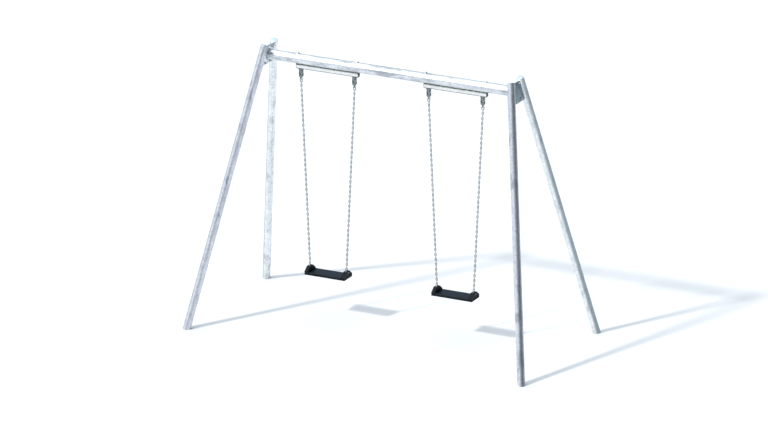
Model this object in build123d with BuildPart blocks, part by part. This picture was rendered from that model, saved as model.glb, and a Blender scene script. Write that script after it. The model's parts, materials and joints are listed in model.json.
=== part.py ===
"""Two-bay playground swing: a galvanised A-frame, two hanger bars, chains and rubber seats.

X runs along the crossbeam, Y from front to rear, Z up. The origin is on the ground, in the
middle of the four feet. All sizes are in millimetres.
"""
from build123d import *
from math import asin, atan, cos, pi, sin, sqrt, tan
import os

os.makedirs("parts", exist_ok=True)

# ---- A-frame ----
foot_span_x = 3590  # between the left and right feet, on the ground
foot_span_y = 1680  # between the front and rear feet
leg_top_span_x = 2630
leg_top_span_y = 196
leg_top_height = 2730
leg_diameter = 76.1
leg_wall = 3.6
foot_disc_thickness = 5
cap_rim_height = 3
cap_dome_height = 3
cap_spigot_length = 14
cap_spigot_clearance = 0.3

# ---- crossbeam ----
beam_height = 2617  # the beam's axis above the ground
beam_diameter = 101.6
beam_wall = 4

# ---- gusset plates welded between the legs, and the beam's end flanges bolted to them ----
gusset_thickness = 10
gusset_above_beam = 94  # above the beam's axis, along the plate
gusset_below_beam = 103
flange_thickness = 8
flange_inset = 3  # the flange's top and bottom edges, inside the gusset's
flange_leg_gap = 4
flange_corner_radius = 8
upper_bolt_row = 72  # above the beam's axis, along the plate
lower_bolt_row = 79  # below the beam's axis
frame_bolt_leg_gap = 7  # between an upper bolt's washer and the leg beside it
frame_bolt_diameter = 12
frame_bolt_head_width = 18  # across flats
frame_bolt_head_height = 7.5
frame_bolt_overhang = 5  # thread past the nut
frame_nut_height = 10
frame_washer_diameter = 24
frame_washer_thickness = 2.5
hole_clearance = 1  # on the diameter, for any bolt
thread_clearance = 0.1  # on the diameter, between a thread's shank and its nut

# ---- hanger bars ----
swing_pitch = 1369  # between the middles of the two swings
bearing_spacing = 574
bar_overhang = 48.5  # past each bearing's middle
bar_side = 40
bar_wall = 3
bar_corner_radius = 4
bar_gap = 3.2  # between the beam and the bar, at the saddles' thinnest
bar_cap_thickness = 4
bar_cap_wall = 2
bar_cap_clearance = 0.2
bar_bolt_inset = 17  # from the bar's end to its bolt
bar_bolt_diameter = 10
bar_bolt_head_width = 16
bar_bolt_head_height = 6.4
bar_bolt_overhang = 6
bar_washer_diameter = 21
bar_washer_thickness = 2
saddle_length = 32
saddle_depth = 36
top_washer_side = 26
top_washer_thickness = 3
cap_nut_height = 9
cap_nut_dome_radius = 7

# ---- swing bearings ----
bearing_width = 38
bearing_depth = 40
bearing_base_height = 18
pivot_drop = 38  # from the bar's underside to the pivot's axis
lug_width = 20
lug_radius = 15
lug_neck_depth = 22
pivot_pin_diameter = 14
pivot_running_clearance = 0.05  # radial, pin in bush
pivot_fit_clearance = 0.02  # radial, pin in fork
pivot_head_diameter = 20
pivot_head_thickness = 2
bush_wall = 2
bush_overhang = 0.3
fork_gap = 1  # between the lug and each of the fork's ears
fork_ear_radius = 17
fork_slot_depth = 26  # below the pivot's axis
fork_body_length = 42  # below the pivot's axis, at the full width
fork_taper_length = 11
fork_eye_drop = 66  # from the pivot's axis to the shackle's pin
fork_eye_radius = 11
fork_tang_thickness = 12
bearing_screw_diameter = 10
bearing_screw_head_diameter = 16
bearing_screw_head_height = 5
bearing_screw_depth = 13
access_hole_diameter = 20

# ---- shackles ----
shackle_wire = 8
shackle_inner_width = 14
shackle_length = 32  # from its pin's axis to the inside of the bow
shackle_eye_diameter = 18
shackle_eye_thickness = 9
shackle_pin_diameter = 8
shackle_pin_clearance = 0.1  # radial
shackle_head_diameter = 13
shackle_head_thickness = 4
shackle_nut_thickness = 3

# ---- chains ----
chain_wire = 6
link_pitch = 25
link_inner_width = 9
link_play = 0.3  # between two links, and between a link and its pin or bow

# ---- seats ----
seat_height = 459  # target height of the seat's underside; whole links settle the true one
seat_chain_spacing = 395
seat_depth = 165
seat_thickness = 27
seat_lip_width = 12
seat_dish_depth = 3
block_width = 40
block_height = 75
block_shoulder_height = 36
block_top_depth = 64
seat_edge_radius = 4
seat_pin_height = 61  # above the seat's underside
seat_pin_diameter = 8
seat_pin_head_diameter = 13
seat_pin_head_thickness = 5
seat_pin_head_recess = 1  # below the end block's outer face
seat_pin_bite = 3  # past the bracket's inner cheek
insert_width = 100
insert_thickness = 5
insert_height = 8  # above the seat's underside
insert_end_margin = 12
bracket_slot = 11
bracket_cheek = 7
bracket_depth = 24
bracket_base_height = 6
bracket_top_radius = 10
rivet_diameter = 6
rivet_spacing = 14
rivet_head_diameter = 10
rivet_head_thickness = 2
link_room_gap = 2  # kept clear round the last link on its pin
tilt_limit = 35  # degrees, each way, that the seat can tip on its chains

# ---- places that follow from the sizes ----
foot_x = foot_span_x / 2
foot_y = foot_span_y / 2
leg_top_x = leg_top_span_x / 2
leg_top_y = leg_top_span_y / 2
leg_radius = leg_diameter / 2
leg_bore = leg_radius - leg_wall
lean = atan((foot_x - leg_top_x) / leg_top_height)  # of the A-frame's plane
frame_x = foot_x - beam_height * tan(lean)  # where the beam's axis meets that plane
leg_offset_at_beam = leg_top_y + (foot_y - leg_top_y) * (1 - beam_height / leg_top_height)
leg_spread = (foot_y - leg_top_y) * cos(lean) / leg_top_height
outer_face = gusset_thickness / 2  # of the bolted joint, from the A-frame's plane
inner_face = -outer_face - flange_thickness
cap_dome_radius = (leg_radius**2 + cap_dome_height**2) / (2 * cap_dome_height)
cap_dome_angle = asin(leg_radius / cap_dome_radius) * 180 / pi

beam_radius = beam_diameter / 2
bar_length = bearing_spacing + 2 * bar_overhang
bar_top = beam_height - beam_radius - bar_gap
bar_bottom = bar_top - bar_side
bar_bolt_spacing = bar_length - 2 * bar_bolt_inset
bar_bolt_hole = bar_bolt_diameter + hole_clearance
bar_plug_length = bar_bolt_inset - bar_cap_thickness - bar_bolt_hole / 2

pivot_height = bar_bottom - pivot_drop
bush_radius = pivot_pin_diameter / 2 + pivot_running_clearance + bush_wall
shackle_pin_height = pivot_height - fork_eye_drop
bow_height = shackle_pin_height - shackle_length  # the inside of the shackle's bow

# a whole, odd number of links, so that the first and the last both lie in planes along Y
chain_shift_x = (bearing_spacing - seat_chain_spacing) / 2
chain_drop_wanted = bow_height - (seat_height + seat_pin_height - seat_pin_diameter / 2)
chain_run_wanted = sqrt(chain_drop_wanted**2 + chain_shift_x**2)
link_count = 2 * round((chain_run_wanted / link_pitch - 1) / 2) + 1
chain_drop = sqrt((link_count * link_pitch) ** 2 - chain_shift_x**2)
pin_height = bow_height - chain_drop + seat_pin_diameter / 2
seat_bottom = pin_height - seat_pin_height
seat_length = seat_chain_spacing + block_width

sides = (("left", -1), ("right", 1))


def save(piece, name):
    """Labels a finished piece and writes it to its own file."""
    piece.part.label = name
    export_step(piece.part, f"parts/{name}.step")


def end_plane(side):
    """One A-frame's plane: its origin on the beam's axis, x across, y up the frame, z outwards."""
    outwards = (side * cos(lean), 0, sin(lean))
    return Plane(origin=(side * frame_x, 0, beam_height), x_dir=(0, side, 0), z_dir=outwards)


def leg_plane(side, depth):
    """Square to one leg, on the axis of its foot, with z up the leg."""
    foot = Vector(side * foot_x, depth * foot_y, 0)
    top = Vector(side * leg_top_x, depth * leg_top_y, leg_top_height)
    return Plane(origin=foot, z_dir=top - foot)


def side_middle(side_name):
    """The X of the middle of one swing."""
    return dict(sides)[side_name] * swing_pitch / 2


def leg_offset(height):
    """From the frame's middle line to a leg's axis, at a height along the frame above the beam."""
    return leg_offset_at_beam - leg_spread * height


def between_legs(top, bottom, margin):
    """A trapezium's corners from top to bottom heights, its sides a margin in from the legs' axes."""
    right = [(leg_offset(top) - margin, top), (leg_offset(bottom) - margin, bottom)]
    return right + [(-across, height) for across, height in reversed(right)]


leg_length = Vector(foot_x - leg_top_x, foot_y - leg_top_y, leg_top_height).length
leg_half_width = leg_radius / cos(atan(leg_spread))  # of the leaning leg, across the frame
frame_bolt_offset = (
    leg_offset(upper_bolt_row) - leg_half_width - frame_bolt_leg_gap - frame_washer_diameter / 2
)
frame_bolt_places = [
    (way * frame_bolt_offset, row) for row in (upper_bolt_row, -lower_bolt_row) for way in (-1, 1)
]
frame_hole = frame_bolt_diameter + hole_clearance

# ---- legs, their caps and foot discs ----
for side_name, side in sides:
    for depth_name, depth in (("front", -1), ("rear", 1)):
        foot_plane = leg_plane(side, depth)
        with BuildPart() as leg:
            with BuildSketch(foot_plane.offset(-leg_diameter)):
                Circle(leg_radius)
                Circle(leg_bore, mode=Mode.SUBTRACT)
            extrude(amount=leg_length + leg_diameter)
            split(bisect_by=Plane.XY, keep=Keep.TOP)
        save(leg, f"{depth_name}_{side_name}_leg")

        top_plane = foot_plane.offset(leg_length)
        cap_plane = Plane(origin=top_plane.origin, x_dir=top_plane.x_dir, z_dir=-top_plane.y_dir)
        with BuildPart() as cap:
            with BuildSketch(cap_plane):
                with BuildLine():
                    spigot_radius = leg_bore - cap_spigot_clearance
                    Polyline(
                        (0, cap_rim_height + cap_dome_height),
                        (0, -cap_spigot_length),
                        (spigot_radius, -cap_spigot_length),
                        (spigot_radius, 0),
                        (leg_radius, 0),
                        (leg_radius, cap_rim_height),
                    )
                    dome_middle = cap_rim_height + cap_dome_height - cap_dome_radius
                    CenterArc((0, dome_middle), cap_dome_radius, 90 - cap_dome_angle, cap_dome_angle)
                make_face()
            revolve(axis=Axis(top_plane.origin, top_plane.z_dir))
        save(cap, f"{depth_name}_{side_name}_leg_cap")

with BuildPart() as foot_discs:
    for side_name, side in sides:
        for depth in (-1, 1):
            with BuildSketch(leg_plane(side, depth).offset(-leg_diameter)):
                Circle(leg_bore)
            extrude(amount=2 * leg_diameter)
    split(bisect_by=Plane.XY, keep=Keep.TOP)
    split(bisect_by=Plane.XY.offset(foot_disc_thickness), keep=Keep.BOTTOM)
save(foot_discs, "foot_discs")

# ---- gusset plates, with sides hollowed to fit against the legs ----
gusset_outline = between_legs(gusset_above_beam, -gusset_below_beam, 0)
for side_name, side in sides:
    with BuildPart() as gusset:
        with BuildSketch(end_plane(side)):
            with BuildLine():
                Polyline(*gusset_outline, close=True)
            make_face()
            with Locations(*frame_bolt_places):
                Circle(frame_hole / 2, mode=Mode.SUBTRACT)
        extrude(amount=gusset_thickness / 2, both=True)
        for depth in (-1, 1):
            with BuildSketch(leg_plane(side, depth)):
                Circle(leg_radius)
            extrude(amount=leg_length, mode=Mode.SUBTRACT)
    save(gusset, f"{side_name}_gusset_plate")

# ---- flanges welded on the beam's ends ----
flange_outline = between_legs(
    gusset_above_beam - flange_inset, flange_inset - gusset_below_beam, leg_half_width + flange_leg_gap
)
for side_name, side in sides:
    with BuildPart() as flange:
        with BuildSketch(end_plane(side).offset(inner_face)) as outline:
            with BuildLine():
                Polyline(*flange_outline, close=True)
            make_face()
            fillet(outline.vertices(), flange_corner_radius)
            with Locations(*frame_bolt_places):
                Circle(frame_hole / 2, mode=Mode.SUBTRACT)
        extrude(amount=flange_thickness)
    save(flange, f"{side_name}_beam_flange")

# ---- bolts, nuts and washers that hold the flanges on the gussets ----
with BuildPart() as frame_washers:
    for side_name, side in sides:
        for start in (outer_face, inner_face - frame_washer_thickness):
            with BuildSketch(end_plane(side).offset(start)):
                with Locations(*frame_bolt_places):
                    Circle(frame_washer_diameter / 2)
                    Circle(frame_hole / 2, mode=Mode.SUBTRACT)
            extrude(amount=frame_washer_thickness)
save(frame_washers, "frame_bolt_washers")

nut_face = inner_face - frame_washer_thickness
with BuildPart() as frame_bolts:
    for side_name, side in sides:
        with BuildSketch(end_plane(side).offset(outer_face + frame_washer_thickness)):
            with Locations(*frame_bolt_places):
                RegularPolygon(frame_bolt_head_width / 2, 6, major_radius=False)
        extrude(amount=frame_bolt_head_height)
        shank_end = nut_face - frame_nut_height - frame_bolt_overhang
        with BuildSketch(end_plane(side).offset(shank_end)):
            with Locations(*frame_bolt_places):
                Circle(frame_bolt_diameter / 2)
        extrude(amount=outer_face + frame_washer_thickness - shank_end)
save(frame_bolts, "frame_bolts")

with BuildPart() as frame_nuts:
    for side_name, side in sides:
        with BuildSketch(end_plane(side).offset(nut_face)):
            with Locations(*frame_bolt_places):
                RegularPolygon(frame_bolt_head_width / 2, 6, major_radius=False)
                Circle((frame_bolt_diameter + thread_clearance) / 2, mode=Mode.SUBTRACT)
        extrude(amount=-frame_nut_height)
save(frame_nuts, "frame_nuts")

# ---- crossbeam, welded between its two end flanges ----
bar_bolt_x = []
for side_name, side in sides:
    for way in (-1, 1):
        bar_bolt_x.append(side * swing_pitch / 2 + way * bar_bolt_spacing / 2)
bar_bolt_points = [(x, 0) for x in bar_bolt_x]

with BuildPart() as crossbeam:
    with BuildSketch(Plane.YZ):
        with Locations((0, beam_height)):
            Circle(beam_radius)
            Circle(beam_radius - beam_wall, mode=Mode.SUBTRACT)
    extrude(amount=frame_x + beam_radius, both=True)
    for side_name, side in sides:
        split(bisect_by=end_plane(side).offset(inner_face), keep=Keep.BOTTOM)
    with BuildSketch(Plane.XY.offset(beam_height)):
        with Locations(*bar_bolt_points):
            Circle(bar_bolt_hole / 2)
    extrude(amount=beam_diameter, both=True, mode=Mode.SUBTRACT)
save(crossbeam, "crossbeam")

# ---- hanger bars ----
bearing_x = {}
for side_name, side in sides:
    middle = side * swing_pitch / 2
    bearing_x[side_name, "outer"] = middle + side * bearing_spacing / 2
    bearing_x[side_name, "inner"] = middle - side * bearing_spacing / 2
    bolt_xs = [middle - bar_bolt_spacing / 2, middle + bar_bolt_spacing / 2]
    tube_length = bar_length - 2 * bar_cap_thickness
    with BuildPart() as bar:
        with BuildSketch(Plane.YZ.offset(middle)):
            with Locations((0, bar_top - bar_side / 2)):
                RectangleRounded(bar_side, bar_side, bar_corner_radius)
                bar_bore = bar_side - 2 * bar_wall
                RectangleRounded(bar_bore, bar_bore, bar_corner_radius - bar_wall, mode=Mode.SUBTRACT)
        extrude(amount=tube_length / 2, both=True)
        with BuildSketch(Plane.XY.offset(bar_bottom)):
            with Locations(*[(x, 0) for x in bolt_xs]):
                Circle(bar_bolt_hole / 2)
            with Locations((bearing_x[side_name, "outer"], 0), (bearing_x[side_name, "inner"], 0)):
                Circle((bearing_screw_diameter + hole_clearance) / 2)
        extrude(amount=bar_side, mode=Mode.SUBTRACT)
        with BuildSketch(Plane.XY.offset(bar_top)):
            with Locations((bearing_x[side_name, "outer"], 0), (bearing_x[side_name, "inner"], 0)):
                Circle(access_hole_diameter / 2)
        extrude(amount=-bar_side / 2, mode=Mode.SUBTRACT)
    save(bar, f"{side_name}_hanger_bar")

with BuildPart() as bar_caps:
    for side_name, side in sides:
        for way in (-1, 1):
            end_x = side * swing_pitch / 2 + way * bar_length / 2
            with BuildSketch(Plane.YZ.offset(end_x)):
                with Locations((0, bar_top - bar_side / 2)):
                    RectangleRounded(bar_side, bar_side, bar_corner_radius)
            extrude(amount=-way * bar_cap_thickness)
            with BuildSketch(Plane.YZ.offset(end_x - way * bar_cap_thickness)):
                with Locations((0, bar_top - bar_side / 2)):
                    plug_side = bar_side - 2 * bar_wall - 2 * bar_cap_clearance
                    RectangleRounded(plug_side, plug_side, bar_corner_radius - bar_wall)
                    hollow_side = plug_side - 2 * bar_cap_wall
                    Rectangle(hollow_side, hollow_side, mode=Mode.SUBTRACT)
            extrude(amount=-way * bar_plug_length)
save(bar_caps, "bar_end_caps")

# ---- saddles, bolts, washers and nuts that hold the bars under the beam ----
with BuildPart() as saddles:
    for x in bar_bolt_x:
        with BuildSketch(Plane.XY.offset(bar_top)):
            with Locations((x, 0)):
                Rectangle(saddle_length, saddle_depth)
                Circle(bar_bolt_hole / 2, mode=Mode.SUBTRACT)
        extrude(amount=beam_radius / 2)
    with BuildSketch(Plane.YZ):
        with Locations((0, beam_height)):
            Circle(beam_radius)
    extrude(amount=foot_span_x, both=True, mode=Mode.SUBTRACT)
    saddle_top = bar_top + bar_gap + (beam_radius - sqrt(beam_radius**2 - saddle_depth**2 / 4))
    split(bisect_by=Plane.XY.offset(saddle_top), keep=Keep.BOTTOM)
save(saddles, "bar_saddles")

beam_top = beam_height + beam_radius
with BuildPart() as top_washers:
    for x in bar_bolt_x:
        with BuildSketch(Plane.XY.offset(beam_height)):
            with Locations((x, 0)):
                Rectangle(top_washer_side, top_washer_side)
                Circle(bar_bolt_hole / 2, mode=Mode.SUBTRACT)
        extrude(amount=beam_radius + top_washer_thickness)
    with BuildSketch(Plane.YZ):
        with Locations((0, beam_height)):
            Circle(beam_radius)
    extrude(amount=foot_span_x, both=True, mode=Mode.SUBTRACT)
save(top_washers, "beam_top_washers")

with BuildPart() as bar_washers:
    with BuildSketch(Plane.XY.offset(bar_bottom)):
        with Locations(*bar_bolt_points):
            Circle(bar_washer_diameter / 2)
            Circle(bar_bolt_hole / 2, mode=Mode.SUBTRACT)
    extrude(amount=-bar_washer_thickness)
save(bar_washers, "bar_bolt_washers")

bar_nut_face = beam_top + top_washer_thickness
bar_head_face = bar_bottom - bar_washer_thickness
with BuildPart() as bar_bolts:
    with BuildSketch(Plane.XY.offset(bar_head_face)):
        with Locations(*bar_bolt_points):
            RegularPolygon(bar_bolt_head_width / 2, 6, major_radius=False)
    extrude(amount=-bar_bolt_head_height)
    with BuildSketch(Plane.XY.offset(bar_head_face)):
        with Locations(*bar_bolt_points):
            Circle(bar_bolt_diameter / 2)
    extrude(amount=bar_nut_face + bar_bolt_overhang - bar_head_face)
save(bar_bolts, "bar_bolts")

with BuildPart() as cap_nuts:
    for x in bar_bolt_x:
        with BuildSketch(Plane.XY.offset(bar_nut_face)):
            with Locations((x, 0)):
                RegularPolygon(bar_bolt_head_width / 2, 6, major_radius=False)
        extrude(amount=cap_nut_height)
        with Locations((x, 0, bar_nut_face + cap_nut_height)):
            Sphere(cap_nut_dome_radius, arc_size1=0)
        with BuildSketch(Plane.XY.offset(bar_nut_face)):
            with Locations((x, 0)):
                Circle((bar_bolt_diameter + thread_clearance) / 2)
        extrude(amount=bar_bolt_overhang + thread_clearance, mode=Mode.SUBTRACT)
save(cap_nuts, "bar_cap_nuts")

# ---- swing bearings: the fixed blocks, their bushes and the screws up into the bar ----
for (side_name, place), x in bearing_x.items():
    with BuildPart() as block:
        with BuildSketch(Plane.XY.offset(bar_bottom)):
            with Locations((x, 0)):
                RectangleRounded(bearing_width, bearing_depth, bar_corner_radius)
        extrude(amount=-bearing_base_height)
        with BuildSketch(Plane.YZ.offset(x)):
            with Locations((0, pivot_height)):
                Circle(lug_radius)
            with Locations((0, pivot_height + pivot_drop / 2)):
                Rectangle(lug_neck_depth, pivot_drop)
        extrude(amount=lug_width / 2, both=True)
        with BuildSketch(Plane.YZ.offset(x)):
            with Locations((0, pivot_height)):
                Circle(bush_radius)
        extrude(amount=lug_width, both=True, mode=Mode.SUBTRACT)
        with BuildSketch(Plane.XY.offset(bar_bottom)):
            with Locations((x, 0)):
                Circle(bearing_screw_diameter / 2)
        extrude(amount=-bearing_screw_depth, mode=Mode.SUBTRACT)
    save(block, f"{side_name}_{place}_bearing_block")

with BuildPart() as bushes:
    for x in bearing_x.values():
        with BuildSketch(Plane.YZ.offset(x)):
            with Locations((0, pivot_height)):
                Circle(bush_radius)
                Circle(bush_radius - bush_wall, mode=Mode.SUBTRACT)
        extrude(amount=lug_width / 2 + bush_overhang, both=True)
save(bushes, "bearing_bushes")

with BuildPart() as bearing_screws:
    for x in bearing_x.values():
        with BuildSketch(Plane.XY.offset(bar_bottom - bearing_screw_depth)):
            with Locations((x, 0)):
                Circle((bearing_screw_diameter - thread_clearance) / 2)
        extrude(amount=bearing_screw_depth + bar_wall)
        with BuildSketch(Plane.XY.offset(bar_bottom + bar_wall)):
            with Locations((x, 0)):
                Circle(bearing_screw_head_diameter / 2)
        extrude(amount=bearing_screw_head_height)
save(bearing_screws, "bearing_screws")

# ---- forks that swing on the bearings ----
waist = pivot_height - fork_body_length
for (side_name, place), x in bearing_x.items():
    with BuildPart() as fork:
        with BuildSketch(Plane.YZ.offset(x)):
            with Locations((0, pivot_height)):
                Circle(fork_ear_radius)
            with Locations((0, shackle_pin_height)):
                Circle(fork_eye_radius)
            make_hull()
        extrude(amount=bearing_width / 2, both=True)
        with BuildSketch(Plane.XZ):
            with BuildLine():
                Polyline(
                    (x - bearing_width / 2, pivot_height + fork_ear_radius),
                    (x - bearing_width / 2, waist),
                    (x - fork_tang_thickness / 2, waist - fork_taper_length),
                    (x - fork_tang_thickness / 2, shackle_pin_height - fork_eye_radius),
                    (x + fork_tang_thickness / 2, shackle_pin_height - fork_eye_radius),
                    (x + fork_tang_thickness / 2, waist - fork_taper_length),
                    (x + bearing_width / 2, waist),
                    (x + bearing_width / 2, pivot_height + fork_ear_radius),
                    close=True,
                )
            make_face()
        extrude(amount=bearing_depth, both=True, mode=Mode.INTERSECT)
        with BuildSketch(Plane.XZ):
            with Locations((x, pivot_height - fork_slot_depth)):
                slot_height = fork_slot_depth + fork_ear_radius
                slot_width = lug_width + 2 * fork_gap
                Rectangle(slot_width, slot_height, align=(Align.CENTER, Align.MIN))
        extrude(amount=bearing_depth, both=True, mode=Mode.SUBTRACT)
        with BuildSketch(Plane.YZ.offset(x)):
            with Locations((0, pivot_height)):
                Circle(pivot_pin_diameter / 2 + pivot_fit_clearance)
            with Locations((0, shackle_pin_height)):
                Circle(shackle_pin_diameter / 2 + shackle_pin_clearance)
        extrude(amount=bearing_width, both=True, mode=Mode.SUBTRACT)
    save(fork, f"{side_name}_{place}_fork")

# ---- pivot pins, shackles and shackle pins ----
shackle_outside = (shackle_inner_width + shackle_wire + shackle_eye_thickness) / 2
for side_name, side in sides:
    places = (bearing_x[side_name, "outer"], bearing_x[side_name, "inner"])
    with BuildPart() as pivot_pins:
        for x in places:
            with BuildSketch(Plane.YZ.offset(x)):
                with Locations((0, pivot_height)):
                    Circle(pivot_pin_diameter / 2)
            extrude(amount=bearing_width / 2, both=True)
            for way in (-1, 1):
                with BuildSketch(Plane.YZ.offset(x + way * bearing_width / 2)):
                    with Locations((0, pivot_height)):
                        Circle(pivot_head_diameter / 2)
                extrude(amount=way * pivot_head_thickness)
    save(pivot_pins, f"{side_name}_pivot_pins")

    with BuildPart() as shackle_pins:
        for x in places:
            with BuildSketch(Plane.YZ.offset(x)):
                with Locations((0, shackle_pin_height)):
                    Circle(shackle_pin_diameter / 2)
            extrude(amount=shackle_outside, both=True)
            with BuildSketch(Plane.YZ.offset(x + shackle_outside)):
                with Locations((0, shackle_pin_height)):
                    Circle(shackle_head_diameter / 2)
            extrude(amount=shackle_head_thickness)
            with BuildSketch(Plane.YZ.offset(x - shackle_outside)):
                with Locations((0, shackle_pin_height)):
                    RegularPolygon(shackle_head_diameter / 2, 6, major_radius=False)
            extrude(amount=-shackle_nut_thickness)
    save(shackle_pins, f"{side_name}_shackle_pins")

for (side_name, place), x in bearing_x.items():
    wire_x = (shackle_inner_width + shackle_wire) / 2
    bow_middle = bow_height + shackle_inner_width / 2
    bow_top = shackle_pin_height - shackle_eye_diameter / 3  # inside the eyes, below the pin
    with BuildPart() as shackle:
        with BuildLine(Plane.XZ) as bow:
            Line((x - wire_x, bow_top), (x - wire_x, bow_middle))
            CenterArc((x, bow_middle), wire_x, 180, 180)
            Line((x + wire_x, bow_middle), (x + wire_x, bow_top))
        with BuildSketch(Plane.XY.offset(bow_top)):
            with Locations((x - wire_x, 0)):
                Circle(shackle_wire / 2)
        sweep(path=bow.line)
        for way in (-1, 1):
            with BuildSketch(Plane.YZ.offset(x + way * shackle_outside)):
                with Locations((0, shackle_pin_height)):
                    Circle(shackle_eye_diameter / 2)
            extrude(amount=-way * shackle_eye_thickness)
        with BuildSketch(Plane.YZ.offset(x)):
            with Locations((0, shackle_pin_height)):
                Circle(shackle_pin_diameter / 2 + shackle_pin_clearance)
        extrude(amount=2 * shackle_outside, both=True, mode=Mode.SUBTRACT)
    save(shackle, f"{side_name}_{place}_shackle")

# ---- chains ----
link_radius = (link_inner_width + chain_wire) / 2
link_room = link_inner_width / 2 + chain_wire + link_room_gap  # radius kept clear round the seat's pin
link_straight = link_pitch + 2 * link_play - link_inner_width
with BuildPart() as link:
    with BuildLine(Plane.XZ) as loop:
        Line((link_radius, 0), (link_radius, link_straight / 2))
        CenterArc((0, link_straight / 2), link_radius, 0, 180)
        Line((-link_radius, link_straight / 2), (-link_radius, -link_straight / 2))
        CenterArc((0, -link_straight / 2), link_radius, 180, 180)
        Line((link_radius, -link_straight / 2), (link_radius, 0))
    with BuildSketch(Plane.XY):
        with Locations((link_radius, 0)):
            Circle(chain_wire / 2)
    sweep(path=loop.line)

for (side_name, place), x in bearing_x.items():
    inwards = -1 if x > side_middle(side_name) else 1
    top = Vector(x, 0, bow_height)
    bottom = Vector(x + inwards * chain_shift_x, 0, bow_height - chain_drop)
    down = (bottom - top).normalized()
    across = down.cross(Vector(0, 1, 0))
    link_planes = []
    for number in range(link_count):
        middle = top + (bottom - top) * ((number + 0.5) / link_count)
        width_direction = Vector(0, 1, 0) if number % 2 == 0 else across
        link_planes.append(Plane(origin=middle, x_dir=width_direction, z_dir=down))
    with BuildPart() as chain:
        with Locations(*link_planes):
            add(link.part)
    save(chain, f"{side_name}_{place}_chain")

# ---- seats: rubber moulded round a steel plate, with a steel bracket in each end block ----
insert_length = seat_chain_spacing + 2 * (block_width / 2 - insert_end_margin)
insert_bottom = seat_bottom + insert_height
insert_top = insert_bottom + insert_thickness
bracket_width = bracket_slot + 2 * bracket_cheek
pin_inner_end = bracket_width / 2 + seat_pin_bite
tilt = tilt_limit * pi / 180
flare_start = link_room * cos(tilt)  # the flare's sides are tangent to the room round the pin
flare_bottom = pin_height - link_room * sin(tilt)
flare_top = seat_bottom + block_height + seat_edge_radius
flare_end = flare_start + (flare_top - flare_bottom) * tan(tilt)
block_profile = [
    (-seat_depth / 2, seat_bottom),
    (-seat_depth / 2, seat_bottom + block_shoulder_height),
    (-block_top_depth / 2, seat_bottom + block_height),
    (block_top_depth / 2, seat_bottom + block_height),
    (seat_depth / 2, seat_bottom + block_shoulder_height),
    (seat_depth / 2, seat_bottom),
]
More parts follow.
